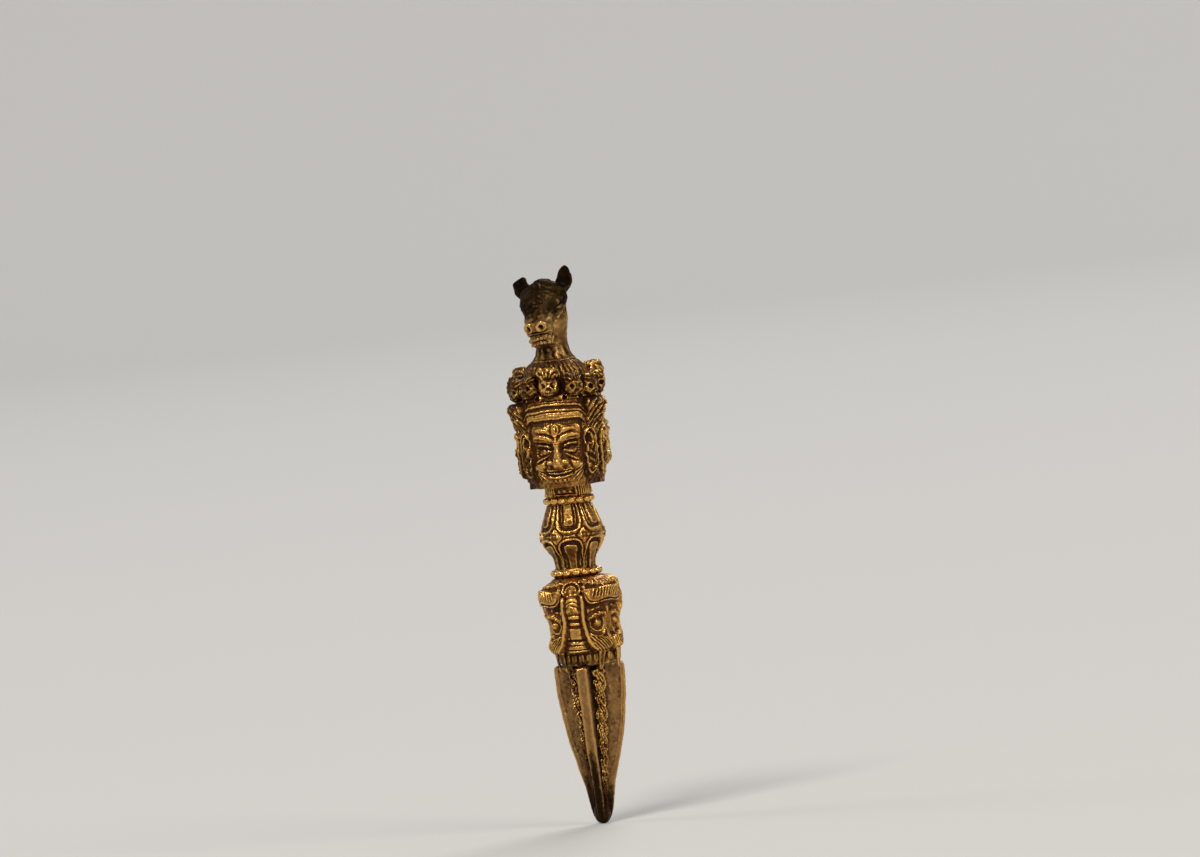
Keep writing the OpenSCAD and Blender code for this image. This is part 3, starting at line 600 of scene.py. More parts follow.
def tube(path, radius, n):
    """Rings of n points round a path; the radius may vary along it and round it."""
    d = np.gradient(path, axis=0)
    d /= np.linalg.norm(d, axis=1, keepdims=True)
    side = np.cross(d, [0.0, -1.0, 0.0])
    side /= np.linalg.norm(side, axis=1, keepdims=True)
    up = np.cross(side, d)
    t = np.arange(n) * TAU / n
    radius = np.broadcast_to(np.asarray(radius), (len(path), n))[..., None]
    return path[:, None] + radius * (np.cos(t)[:, None] * side[:, None] - np.sin(t)[:, None] * up[:, None])


def serpent(phase):
    """A tube round a line that winds about the middle of the flute: across = A cos q and
    out = middle + B sin q, with q going round once in a pitch; lozenge scales on its skin."""
    z = np.linspace(2.6, 22.7, 230)
    size = smooth(z, PAIR_SIZE)
    q = TAU * z / PAIR_PITCH + phase
    low = np.maximum(smooth(z, FLUTE_FLOOR), 0.9)
    path = np.stack([0.58 * size * np.cos(q), -(low + 0.3 * size + 0.2 * size * np.sin(q)), z], -1)
    t = np.arange(30) * TAU / 30
    run = z[:, None] * 1.15
    scales = np.cos(3 * t + TAU * run / 0.95) * np.cos(3 * t - TAU * run / 0.95)
    skin = np.stack([2 * np.cos(t), 2 * np.sin(t)], -1)[None] + z[:, None, None] * [1.0, 0.7]
    lumps = grain(skin, 1.1, 7)
    radius = (0.45 * size)[:, None] * (1 + 0.2 * scales + 0.24 * lumps)
    return tube(path, radius, 30)


for name, a, smoked in (("serpents_right", 60, 0.4), ("serpents_back", 180, 0.4),
        ("serpents_left", 300, 0.8)):
    strands = [handmade(turned(serpent(phase), a), 0.05, 31 + a) for phase in (0, math.pi)]
    piece(name, [shell(q) for q in strands], smoked=smoked,
        smudges_and_highlights=((-0.4, (1, -0.6, 7), (1.2, 1.2, 3.2)),))


# Jaw

def block(centre, size, angle, bow=0.0, power=4.5, n=20, rows=13):
    """A pillow |x|^p + |y|^p + |z|^p = 1, stretched to size, put at a radius and height, and
    turned round the axis; its top and foot are bent outwards by a quarter of bow."""
    v, u = globe(rows, n)

    def bent(c):
        return np.sign(c) * np.abs(c) ** (2 / power)

    p = np.stack([bent(np.cos(v)) * bent(np.cos(u)), bent(np.cos(v)) * bent(np.sin(u)),
        bent(np.sin(v)) + 0 * u], -1)
    p = p * np.array(size) / 2
    p[..., 1] -= bow * (p[..., 2] / size[2]) ** 2
    return turned(p + [0, -centre[0], centre[1]], angle)


def pressed(p):
    """The jaw's points, pushed out on its right and pressed in on its left."""
    a = np.degrees(np.arctan2(p[..., 0], -p[..., 1]))
    k = 1 + 0.14 * bell(a - 80, 30) - 0.1 * bell(a + 88, 28)
    return p * np.stack([k, k, np.ones_like(k)], -1)


def jaw_grid():
    """The gums: a collar of radius 3.6 to 4.0, a lip at its top, a groove behind the teeth."""
    d = Drawing(4.0, Z_MAKARA - Z_JAW, 60, 30)
    d.h = smooth(d.y, [[0, 3.6], [0.2, 3.82], [0.8, 3.95], [1.4, 3.88], [1.75, 3.98], [2, 4.0]])
    d.h += 0.05 * wave(d.x, 1.0)
    r = all_round(d.h, 3)
    return standing(r, angles(r.shape[1]), Z_JAW + all_round(d.y, 3))


piece("jaw_collar", [ring_of(pressed(jaw_grid()), SPIGOT_BORE_R)])
teeth = []
for k in range(24):
    off = abs((15 * k + 60) % 120 - 60)
    if abs(off - 41) > 9:
        teeth.append(block((3.94, Z_JAW + 1.15), (0.76, 0.6, 1.25), 15 * k, 0.1, 3))
        teeth.append(block((4.18, Z_JAW + 1.45), (0.34, 0.2, 0.5), 15 * k, 0.1, 2.5, 12, 9))
piece("teeth", [shell(pressed(q)) for q in teeth], smoked=0.3)


def tusk(angle, side):
    """A flat horn round a curve from the lip down to its point. In its own units, its section
    is |x|^3 + |y / 0.62|^3 = 1."""
    t = np.linspace(0, 1, 34)
    path = np.stack([side * (0.12 * t + 0.25 * t ** 2), -(4.42 - 0.3 * t), Z_MAKARA + 0.15 - 2.9 * t], -1)
    size = smooth(t, [[0, 0.5], [0.15, 0.46], [0.5, 0.38], [0.8, 0.29], [0.95, 0.17], [1, 0.05]])
    q = np.arange(20) * TAU / 20
    ring = (np.abs(np.cos(q)) ** 3 + np.abs(np.sin(q) / 0.62) ** 3) ** (-1 / 3)
    p = tube(path[::-1], size[::-1, None] * ring, 20)
    return turned(p, angle)


tusks = [
    handmade(pressed(tusk(120 * k + side * 41, -side)), 0.04, 51 + k)
    for k in range(3) for side in (-1, 1)]
piece("tusks", [shell(q) for q in tusks], smoked=0.25)


# Sea-monster head: half of a third, from a trunk's axis to the middle between two trunks

# Height over the jaw, then the radius of the ribs down a trunk's middle
TRUNK_MIDDLE = [
    [0, 4.9], [0.15, 5.3], [0.35, 5.38], [0.5, 5.15], [0.62, 5.4], [1.05, 5.42], [1.15, 5.2], [1.28, 5.42],
    [1.6, 5.45], [1.75, 5.1], [1.9, 5.15], [2.02, 5.5], [3.2, 5.62], [3.45, 5.68], [3.55, 5.3], [3.8, 5.25],
    [3.95, 5.55], [4.25, 5.6], [4.4, 5.3], [4.75, 5.35], [4.9, 5.75], [5.3, 5.85], [5.45, 5.7], [5.75, 5.9],
    [6.3, 6.2], [6.75, 6.1], [6.85, 5.95], [6.95, 6.15], [7.2, 6.15], [7.35, 5.95], [7.5, 6.12],
    [7.8, 6.05], [8.05, 5.8], [8.4, 5.7], [9, 5.7], [9.7, 5.45], [10.3, 4.9], [10.7, 3.8],
]


def makara_drawing():
    """Half of a third, x from a trunk's axis and y up from the jaw: a back of smooth height,
    on which eye, brow, fan, curls and swag are added, and over which the trunk lies."""
    d = Drawing(6.07, Z_BEAD_LOW - Z_MAKARA, 84, 150)
    x, y = d.x, d.y
    back = smooth(y, [[0, 4.5], [0.5, 4.8], [3, 4.8], [6, 4.9], [7.5, 5.05], [9, 5.05], [9.8, 4.8],
        [10.4, 4.3], [10.7, 3.7]])
    d.h = back - 0.25 * np.exp(-(x - 1.75) ** 2 / 0.1)
    # eye with its lids
    e = np.hypot((x - 3.85) / 1.06, y - 4.1)
    lower = ramp(4.9 - y, -0.3, 0.4)
    d.h += 0.62 * bell(e, 0.56, 2.4)
    d.h += lower * (0.2 * bell(e - 1.22, 0.18) + 0.16 * bell(e - 1.6, 0.14) + 0.1 * bell(e - 1.95, 0.12))
    d.h -= 0.16 * bell(e - 0.92, 0.2) * ramp(y, 3.2, 4.6)
    # brow: a rope of slanting hairs
    brow = flowing([(1.8, 4.7), (2.6, 4.95), (3.5, 5.15), (4.5, 5.4), (5.3, 5.15), (5.85, 4.5)])
    gap, share = to_path(d.at, brow)
    d.h += (
        bell(gap, 0.36, 2.5) * (0.62 + 0.1 * wave(share * 13 + 1.4 * (y - x))) * ramp(share, -0.02, 0.08)
        * ramp(1 - share, -0.02, 0.3))
    d.hills((3.4, 6.45, 2.0, 0.28, -0.18), (2.3, 4.5, 0.3, 0.3, 0.25), (2.3, 5.9, 0.3, 0.4, 0.3),
        (3.2, 6.1, 0.4, 0.25, 0.25), (4.3, 6.3, 0.4, 0.25, 0.25))
    # ribbed fan behind the brow
    fan = d.inside([(1.6, 8.8), (1.8, 7.9), (2.1, 7.3), (2.8, 6.9), (3.8, 6.85), (5.2, 7.0), (6.4, 7.15),
        (6.6, 9.1), (5.2, 9.2), (3.6, 9.1), (2.6, 9.1), (2.0, 8.95)], 0.13)
    ribs = 0.16 * wave(x - 0.3 * (y - 8), 0.52) * ramp(x, 2.7, 3.2) * ramp(y, 7.5, 8.1)
    swell = (
        0.72 + 0.26 * np.exp(-((x - 2.5) / 0.5) ** 2 - ((y - 8.0) / 0.55) ** 2)
        - 0.16 * ((y - 8.1) / 1.1) ** 4)
    d.h += fan * (swell + ribs)
    d.lines((0.11, 0.3, (1.6, 9.0), (1.8, 7.8), (2.4, 7.1), (3.4, 6.85), (5, 7.0), (6.07, 7.1)),
            (0.09, -0.25, (2.1, 8.5), (2.3, 7.7), (2.9, 7.25), (4.2, 7.15), (5.2, 7.28), (6.07, 7.32)),
            (0.12, 0.2, (2.2, 9.15), (3.4, 9.2), (4.8, 9.15), (6.07, 9.05)))
    # curls along the top
    for cx, cy, r in ((2.45, 10.0, 0.48), (3.45, 9.85, 0.46), (4.4, 9.7, 0.46), (5.3, 9.6, 0.4),
            (6.07, 9.6, 0.42), (2.0, 9.2, 0.36), (1.75, 10.15, 0.3)):
        q = np.hypot(x - cx, y - cy)
        turn = np.arctan2(y - cy, x - cx)
        d.h += bell(q, r, 4) * (0.5 + 0.13 * wave(q, 0.62 * r, -turn))
    # swag of the lip, with slanting hairs, and its curl
    swag = d.inside([(1.95, 2.75), (2.8, 2.45), (3.7, 2.3), (4.6, 2.0), (5.3, 1.9), (5.75, 1.0), (5.0, 0.1),
        (3.9, -0.2), (2.9, 0.2), (2.3, 1.2)], 0.18)
    hairs = 0.62 + 0.13 * wave(x + 0.95 * y, 0.5)
    d.h += swag * (hairs + 0.2 * np.exp(-((x - 3.8) / 1.4) ** 2 - ((y - 1.1) / 0.8) ** 2))
    d.lines((0.16, 0.3, (2.0, 2.75), (3.0, 2.4), (4.0, 2.2), (4.8, 2.5), (5.0, 2.95), (4.7, 3.05)))
    d.hills((4.75, 2.65, 0.2, 0.2, 0.25), (6.07, 1.3, 0.55, 0.95, 0.85), (6.07, 5.6, 0.35, 0.8, 0.3))
    d.lines((0.1, -0.2, (5.5, 2.9), (5.6, 1.5), (5.45, 0.4)))
    # trunk, its two border strips and the jewel over it
    strip = flowing([(1.42, 8.1), (1.42, 6.5), (1.44, 5), (1.52, 4.1), (1.7, 3.1), (1.97, 2.2), (2.4, 1.25),
        (2.85, 0.65), (3.25, 0.32)])
    gap, share = to_path(d.at, strip)
    left = x < np.interp(y, strip[::-1, 1], strip[::-1, 0])
    middle = smooth(y + 0.35 * (x / 0.85) ** 2 * ramp(y, 5, 6.5), TRUNK_MIDDLE) - 0.25 * (x / 1.4) ** 2
    bed = middle - 0.2
    width = np.interp(y, [0, 1, 2, 4, 8.1], [1.9, 1.35, 1.0, 0.84, 0.8])
    trunk = np.where(x < width, middle - 0.1 * (x / width) ** 4, bed)
    trunk = bed + (trunk - bed) * ramp(width + 0.06 - x, 0, 0.12)
    trunk = np.where(y > 8.0, middle, trunk)
    top = ramp(y, 7.95, 8.25)
    inner = left | ((y > 7.9) & (x < 1.55))
    over = np.maximum(trunk, np.where(y > 8, d.h, 0)) * (1 - top * ramp(x, 1.2, 1.55))
    d.h = np.where(inner, over + d.h * top * ramp(x, 1.2, 1.55), d.h)
    ridge = smooth(y, [[0, 5.45], [0.5, 5.6], [2, 5.75], [4, 5.85], [5.5, 6.05], [7.6, 6.15], [8.1, 6.0]])
    ridge = ridge - 2.4 * np.clip(gap - 0.17, 0, 9) - 0.06 * (gap / 0.2) ** 2 * (gap < 0.3)
    d.h = np.maximum(d.h, ridge - 3 * np.clip(y - 8.1, 0, 9))
    d.lines((0.21, 0.55, (0.1, 10.45), (0.75, 10.25), (1.28, 9.7), (1.42, 9.0), (1.15, 8.45)),
        (0.15, 0.45, (0, 9.72), (0.5, 9.58), (0.8, 9.15), (0.7, 8.75)),
        (0.12, -0.35, (0, 10.08), (0.65, 9.9), (1.02, 9.45), (1.08, 8.95)), fade=0.1)
    d.hills((0, 9.05, 0.3, 0.36, 0.45), (0.0, 8.35, 0.3, 0.16, 0.2), (0.6, 8.3, 0.2, 0.14, 0.2),
        (1.5, 8.9, 0.2, 0.5, 0.25))
    d.h = np.minimum(d.h, smooth(y, [[0, 5.6], [0.6, 6.3], [9.5, 6.3], [10.1, 5.8], [10.45, 5.1],
        [10.7, 3.95]]))
    return d


d = makara_drawing()
r, y = all_round(d.h, 3), all_round(d.y, 3)
a = angles(r.shape[1]) + MAKARA_TURN
# the cast sank on the left, most at its upper edge, and a little at the right eye; its
# upper edge stands out on the right
sunk = bell(a - 268, 26) * (1.4 - 0.4 * ramp(y, 1.4, 3.2) - ramp(y, 3.6, 6.8) + 2.4 * ramp(y, 8.9, 10.1))
sunk += bell(a - 98, 22) * (0.55 * bell(y - 3.7, 1.5) - 0.5 * bell(y - 10.1, 0.5))
p = weathered(standing(r * (1 - 0.14 * sunk), a, Z_MAKARA + y), 0.7, (0.015, 0.45, 62))
wear_and_glint = marks(p, True)
for name, a in (("trunk_front", 0), ("trunk_right", 120), ("trunk_left", -120)):
    piece(name, [walled(p, wear_and_glint, MAKARA_CORE_R, columns(p, a - TRUNK_HALF, a + TRUNK_HALF))], smoked=-0.4)
for name, a in (("cheek_right", 0), ("cheek_back", 120), ("cheek_left", -120)):
    piece(name, [walled(p, wear_and_glint, MAKARA_CORE_R, columns(p, a + TRUNK_HALF, a + 120 - TRUNK_HALF))])


# Beaded rings and grip

def bead(z, angle, seed):
    """An oval bead: a sphere stretched along the ring, with a slanting dent on its face."""
    v, u = globe(19, 28)
    p = np.stack([np.cos(v) * np.cos(u), np.cos(v) * np.sin(u), np.sin(v) + 0 * u], -1)
    slant = np.abs(0.35 * p[..., 0] - p[..., 2] + 0.1)
    dent = 0.16 * bell(slant, 0.16) * ramp(-p[..., 1], 0.3, 0.8) * ramp(0.75 - np.abs(p[..., 0]), 0, 0.3)
    p = p * (1 - dent)[..., None] * [0.6, 0.56, 0.5]
    wobble = np.random.default_rng(seed).uniform(-1, 1, 3)
    p = p * (1 + 0.06 * wobble) + [0, -3.2, z + 0.04 * wobble[1]]
    return turned(p, angle + 1.5 * wobble[0])


def ring_core(low, high):
    """The ring behind the beads: waists at its top and bottom and a round belly."""
    z = np.linspace(low, high, 17)[:, None]
    t = (z - low) / (high - low)
    r = 2.95 + 0.25 * np.sin(math.pi * t) ** 0.7
    return ring_of(standing(r, angles(160), z))


# name, lower and upper end, and the turn of its beads
for name, low, high, turn in (("lower_bead_ring", Z_BEAD_LOW, Z_GRIP, 8),
        ("upper_bead_ring", Z_BEAD_HIGH, Z_NECK, 14)):
    beads = [shell(bead((low + high) / 2, turn + 22.5 * k, 70 + k)) for k in range(16)]
    piece(name, [ring_core(low, high)] + beads)


def grip_drawing():
    """Half of a sixth: below the girdle an arch with a tongue in it, above it a U-shaped frame
    with a boss, and reeds between."""
    d = Drawing(2.094, Z_BEAD_HIGH - Z_GRIP, 30, 132)
    x, y = d.x, d.y
    d.h = smooth(y, [[0, 3.0], [0.5, 3.05], [1.2, 3.15], [2, 3.42], [3, 3.95], [3.8, 4.22], [4.4, 4.32],
        [4.9, 4.34], [5.4, 4.25], [6.2, 4.05], [7.2, 3.72], [8.2, 3.35], [9.1, 3.02]])
    # lower niche, its frame and tongue
    niche = d.inside([(-1.75, 0.1), (-1.7, 2.4), (-1.45, 3.5), (-0.8, 3.95), (0, 4.02), (0.8, 3.95),
        (1.45, 3.5), (1.7, 2.4), (1.75, 0.1), (0, -0.3)], 0.1)
    tongue = d.inside([(-0.72, -0.3), (-0.75, 1.3), (-0.92, 2.2), (-1.1, 3.0), (-0.8, 3.45), (0, 3.52),
        (0.8, 3.45), (1.1, 3.0), (0.92, 2.2), (0.75, 1.3), (0.72, -0.3), (0, -0.4)], 0.13)
    d.h -= 0.5 * niche * (1 - 0.8 * tongue)
    d.lines((0.16, 0.2, (1.5, 0), (1.55, 1.4), (1.75, 2.6), (1.55, 3.7), (0.9, 4.15), (0, 4.25)),
        (0.07, -0.12, (1.85, 0), (1.9, 1.4), (2.0, 2.6), (1.8, 3.6), (1.2, 4.3), (0.6, 4.5), (0, 4.55)),
        fade=0)
    d.lines((0.08, 0.12, (1.35, 0.2), (1.3, 1.2), (1.4, 2.2)))
    # upper frame, groove, inner reed and boss
    d.lines((0.18, 0.26, (1.72, 9.1), (1.75, 7.6), (1.75, 6.6), (1.4, 5.75), (0.8, 5.45), (0, 5.4)),
        (0.13, -0.3, (1.42, 9.1), (1.42, 7.6), (1.4, 6.7), (1.1, 6.05), (0.6, 5.8), (0, 5.75)), fade=0)
    d.lines((0.13, -0.22, (1.0, 9.1), (0.98, 7.5), (0.92, 6.5)),
        (0.12, 0.14, (1.2, 9.1), (1.2, 7.6), (1.12, 6.8)), fade=0.1)
    boss = d.inside([(-0.55, 9.3), (-0.72, 8.2), (-0.8, 6.7), (-0.6, 6.25), (0, 6.15), (0.6, 6.25),
        (0.8, 6.7), (0.72, 8.2), (0.55, 9.3)], 0.12)
    d.h += boss * (0.16 + 0.16 * bell(y - 7, 0.7))
    d.h -= 0.1 * (1 - boss) * ramp(y, 5.8, 6.2) * ramp(1.35 - x, 0, 0.15)
    # waist line, grooves between the panels, and a diamond round each stud
    d.lines((0.09, -0.16, (0, 4.85), (0.7, 4.95), (1.5, 5.1)), (0.1, -0.2, (2.094, 0), (2.094, 3.2)),
        (0.1, -0.22, (2.094, 6.4), (2.094, 9.1)), fade=0.1)
    edge = np.abs(x - 2.094) / 1.15 + np.abs(y - 4.75) / 1.25
    d.h -= 0.16 * bell(edge - 1, 0.12)
    return d


d = grip_drawing()
r = all_round(d.h, 6)
p = weathered(standing(r, angles(r.shape[1]) + GRIP_TURN, Z_GRIP + all_round(d.y, 6)), 0.6, (0.01, 0.4, 82))
wear_and_glint = marks(p, True)
cut = round((Z_GIRDLE - Z_GRIP) / (Z_BEAD_HIGH - Z_GRIP) * (len(p) - 1))
piece("grip_lower", [walled(p, wear_and_glint, BORE_R, rows=slice(0, cut + 1))])
piece("grip_upper", [walled(p, wear_and_glint, BORE_R, rows=slice(cut, None))])


def stud(angle):
    """A diamond boss, domed towards its middle and beaded with grains. At the angle u its edge
    lies at 1 / (|cos u|^1.15 + |sin u|^1.15), then stretched by 1.1 across and 1.2 up."""
    v = np.linspace(0.02, 1, 26)[:, None]
    u = np.arange(44)[None] * TAU / 44
    edge = 1 / (np.abs(np.cos(u)) ** 1.15 + np.abs(np.sin(u)) ** 1.15)
    x, z = v * edge * np.cos(u), v * edge * np.sin(u)
    grains = 0.11 * wave(x + z) * wave(x - z)
    out = 0.52 * (1 - v ** 3) + grains * (1 - v ** 4)
    p = np.stack([1.1 * x, -(4.16 + out), 1.2 * z], -1)
    back = p[-1:] * [1, 0, 1] + [0, -3.7, 0]
    p = np.concatenate([p, back])[::-1]
    return turned(p + [0, 0, Z_GIRDLE + 0.05], angle)


studs = [handmade(stud(60 * k + 30 + GRIP_TURN)) for k in range(6)]
piece("grip_studs", [shell(q) for q in studs])


# Neck

def neck_grid():
    """A collar of radius 3.2 to 3.3: upright reeds, and a beaded panel under each chin."""
    d = Drawing(3.77, Z_HEAD - Z_NECK, 66, 26)
    x, y = d.x, d.y
    d.h = smooth(y, [[0, 3.2], [0.25, 3.3], [0.7, 3.24], [1.1, 3.22], [1.4, 3.3]])
    d.h += 0.09 * wave(x, 0.47) * ramp(x, 1.75, 1.95)
    d.h += 0.1 * wave(x, 0.9) * bell(y - 0.75, 0.25) * (1 - ramp(x, 1.6, 1.8))
    d.lines((0.1, 0.16, (1.75, 0), (1.75, 1.4)), (0.1, 0.12, (0, 0.2), (1.7, 0.2)),
        (0.09, -0.1, (0, 0.42), (1.6, 0.42)), fade=0)
    r = all_round(d.h, 3)
    return standing(r, angles(r.shape[1]), Z_NECK + all_round(d.y, 3))


piece("neck_collar", [ring_of(neck_grid())])


# Head: half of a third, from a nose to the middle between two ears

# Heights over the chin at which the diadems and the locks begin
DIADEM_FOOT, LOCKS_FOOT = 9.7, 8.5
# The beard's lower edge
HEM = [(0, 0.0), (1.8, 0.05), (2.8, 0.42), (3.55, 1.0), (4.15, 1.8), (4.6, 2.7)]


def face(d):
    """Half of a face, 4.2 mm from its nose to the groove before the ear."""
    x, y = d.x, d.y
    d.h = smooth(y, [
        [0, 4.7], [0.12, 4.9], [0.4, 5.2], [0.9, 5.48], [1.5, 5.68], [2.3, 5.82], [3.2, 6.22], [5.4, 6.2],
        [6.6, 6.4], [8, 6.42], [9, 6.2], [9.7, 6.05], [12.4, 6.0]])
    d.h -= 0.36 * (x / 4.4) ** 2
    # nose, its wings and the cheeks
    bridge = smooth(y, [[2.6, 0], [2.8, 0.5], [3.15, 0.98], [4, 1.04], [5.2, 1.1], [5.9, 1.0], [6.4, 0.55],
        [6.9, 0.2], [7.4, 0]])
    half = smooth(y, [[2.6, 0.8], [4, 0.66], [6, 0.46], [7, 0.55]])
    d.h += bridge * bell(x, half, 3.2)
    d.hills((1.15, 3.76, 0.52, 0.46, 0.78), power=3)
    d.hills((0, 3.35, 0.66, 0.5, 0.16), (0.78, 3.0, 0.24, 0.16, -0.32), (2.85, 3.3, 1.1, 0.85, 0.5))
    d.lines((0.2, -0.22, (1.62, 4.3), (1.82, 3.7), (1.95, 3.1), (2.4, 2.5)),
        (0.1, -0.2, (0.7, 4.5), (0.66, 3.7)))
    # narrow eye: a lid over a slit that rises outwards, a swollen lower lid and folds
    d.hills((2.25, 5.6, 1.7, 1.0, -0.46), (2.1, 5.22, 0.95, 0.36, 0.36))
    d.lines(
        (0.2, 0.46, (0.85, 5.72), (1.6, 6.08), (2.5, 6.24), (3.5, 6.1)),
        (0.1, -0.5, (0.72, 5.42), (1.5, 5.68), (2.4, 5.86), (3.5, 5.8)),
        (0.12, -0.4, (0.8, 6.02), (1.6, 6.45), (2.6, 6.6), (3.6, 6.5)),
        (0.09, -0.28, (0.9, 5.0), (1.8, 4.74), (2.8, 4.74), (3.5, 5.0)),
        (0.19, 0.44, (1.05, 4.85), (2.2, 4.4), (3.6, 3.85)),
        (0.1, -0.2, (1.5, 4.35), (2.5, 3.95), (3.5, 3.55)),
        (0.07, -0.14, (3.3, 5.5), (4.0, 5.35)), (0.07, -0.14, (3.3, 5.2), (4.0, 4.95)),
    )
    d.hills((1.75, 5.5, 0.2, 0.12, -0.3), (0.62, 5.3, 0.22, 0.5, -0.25))
    # forehead: brows, the knot over the nose, the third eye and a fringe
    plate = d.inside([
        (-3.95, 6.9), (-3.9, 8.75), (-2.6, 8.95), (-1.6, 8.88), (-0.9, 9.05), (0, 9.3), (0.9, 9.05),
        (1.6, 8.88), (2.6, 8.95), (3.9, 8.75), (3.95, 6.9), (2, 6.6), (0, 6.3), (-2, 6.6)], 0.1)
    d.h += 0.2 * plate
    d.lines(
        (0.36, 0.48, (0.4, 6.62), (1.05, 7.02), (1.9, 7.28), (2.9, 7.36), (3.9, 7.1)),
        (0.13, 0.2, (0.5, 6.95), (1.1, 7.4), (1.9, 7.62), (3.0, 7.7)),
        (0.1, -0.3, (0.3, 7.15), (0.9, 7.55), (1.8, 7.85), (2.9, 7.98)),
        (0.24, 0.26, (1.0, 8.25), (1.9, 8.48), (3.2, 8.4)),
        (0.1, -0.25, (0.16, 6.35), (0.3, 7.0), (0.62, 7.5)),
        (0.14, 0.26, (0, 9.0), (0.36, 8.75), (0.42, 8.1), (0.2, 7.5), (0, 7.4)),
        (0.12, -0.2, (0.72, 9.0), (0.78, 8.2), (0.6, 7.7)),
        (0.18, -0.2, (4.15, 9.3), (4.18, 8), (4.1, 6.9), (4.0, 6.2)),
    )
    d.hills((0, 6.75, 0.3, 0.35, 0.35), (0, 8.15, 0.16, 0.45, 0.3), (1.7, 8.15, 0.55, 0.4, 0.15),
        (2.2, 7.0, 1.0, 0.18, -0.22))
    d.h += 0.05 * wave(x + 0.3 * y, 0.36) * bell(y - 9.25, 0.22) * (x < 4)
    # mouth, chin, whiskers and the beard's hem
    d.lines(
        (0.2, 0.2, (0, 1.5), (1.0, 1.52), (1.95, 1.82)),
        (0.11, -0.36, (0, 1.85), (1.0, 1.82), (1.8, 1.95), (2.4, 2.2)),
        (0.16, 0.22, (0, 2.15), (0.9, 2.16), (2.1, 2.28)),
        (0.08, -0.2, (0, 2.36), (1.2, 2.36), (2.1, 2.42)),
        (0.14, 0.26, (0, 2.56), (1.2, 2.54), (2.2, 2.62)), (0.1, -0.12, (0, 1.25), (1.2, 1.28), (2, 1.5)),
    )
    d.hills((2.25, 2.06, 0.26, 0.24, -0.4), (0, 0.95, 1.7, 0.42, 0.18))
    for cx in (0.38, 1.13):
        d.hills((cx, 1.0, 0.13, 0.13, -0.4), power=4)
    for k in range(3):
        d.lines(
            (0.14, 0.17, (2.5, 1.3 + 0.5 * k), (3.2, 1.75 + 0.5 * k), (4.1, 2.55 + 0.5 * k)),
            (0.09, -0.13, (2.5, 1.05 + 0.5 * k), (3.25, 1.5 + 0.5 * k), (4.15, 2.3 + 0.5 * k)), fade=0.3)
    gap, share = to_path(d.at, flowing(HEM))
    below = y < np.interp(x, [q[0] for q in HEM], [q[1] for q in HEM])
    d.h -= 1.3 * ramp(np.where(below, gap, -gap), -0.05, 0.3)
    for off, k in ((0.16, 0.16), (0.5, 0.12), (0.82, 0.1)):
        d.h += k * bell(gap - off, 0.1) * ~below * ramp(x, 1.2, 2.4)
    d.h += 0.04 * wave(x, 0.34) * bell(y - 0.45, 0.3) * (x < 2.4) * ~below
    return d.h - 0.75 * ramp(x, 4.2, 4.8)


def ear_relief(d):
    """A long ear: an outer loop, an inner fold, a dark hollow above, and curls and a ring
    hanging over its lobe; it stands behind the groove at 4.2 mm."""
    x, y = d.x, d.y
    d.h = smooth(y, [[0, 4.6], [0.3, 4.75], [0.6, 4.9], [1.0, 5.15], [1.6, 5.55], [3, 6.0], [7, 6.1],
        [8.2, 6.15], [9, 6.1], [12.4, 6.0]])
    loop = [(4.45, 6.3), (4.5, 7.2), (4.85, 7.9), (5.4, 8.1), (6.0, 7.8), (6.3, 6.9), (6.42, 5.3),
        (6.35, 3.7), (6.05, 2.4), (5.6, 1.7), (5.1, 1.7), (4.8, 2.3)]
    d.h += 0.35 * d.inside([(4.35, 6.2)] + loop[1:] + [(4.35, 4.0)], 0.15)
    d.lines((0.17, 0.45, *loop), power=2.6)
    d.lines(
        (0.1, 0.28, (6.0, 7.0), (6.08, 6.2), (6.1, 5.0), (5.98, 3.7), (5.65, 2.7), (5.3, 2.3)),
        (0.14, 0.34, (5.0, 7.3), (5.4, 7.45), (5.65, 6.9), (5.7, 5.9), (5.5, 5.2)),
        (0.17, 0.55, (4.5, 6.0), (4.6, 5.3), (4.5, 4.6)), (0.14, 0.35, (4.5, 4.3), (4.5, 3.3), (4.75, 2.4)),
        (0.12, -0.35, (6.6, 7.4), (6.66, 5.2), (6.55, 3.6), (6.2, 2.2)),
    )
    # each row: across, up, radius and height of a curl
    for cx, cy, r, k in (
            (5.3, 5.95, 0.26, 0.4), (5.05, 4.75, 0.3, 0.5), (5.6, 4.35, 0.26, 0.4), (4.95, 3.75, 0.26, 0.4),
            (5.45, 3.45, 0.28, 0.45), (5.0, 2.95, 0.26, 0.4), (5.5, 2.5, 0.26, 0.35),
            (5.35, 1.05, 0.34, 0.4), (6.2, 1.2, 0.34, 0.4), (4.75, 0.75, 0.3, 0.3), (6.91, 7.6, 0.42, 0.6),
            (6.91, 6.4, 0.36, 0.35), (6.91, 5.3, 0.42, 0.55), (6.91, 4.1, 0.36, 0.4),
            (6.91, 3.0, 0.42, 0.5), (6.85, 1.9, 0.34, 0.35), (4.45, 7.5, 0.3, 0.3), (5.9, 0.35, 0.3, 0.25),
            (5.2, 8.6, 0.36, 0.3), (6.1, 8.5, 0.36, 0.35), (4.65, 8.4, 0.3, 0.2)):
        q = np.hypot(x - cx, y - cy)
        d.h += 0.8 * k * bell(q, 1.1 * r, 3) * (1 + 0.25 * wave(q, 1.1 * r))
    d.hills((5.05, 6.75, 0.4, 0.55, -0.75), (4.95, 5.35, 0.22, 0.25, -0.3))
    return d.h - 1.5 * ramp(4.5 - x, 0, 0.5)


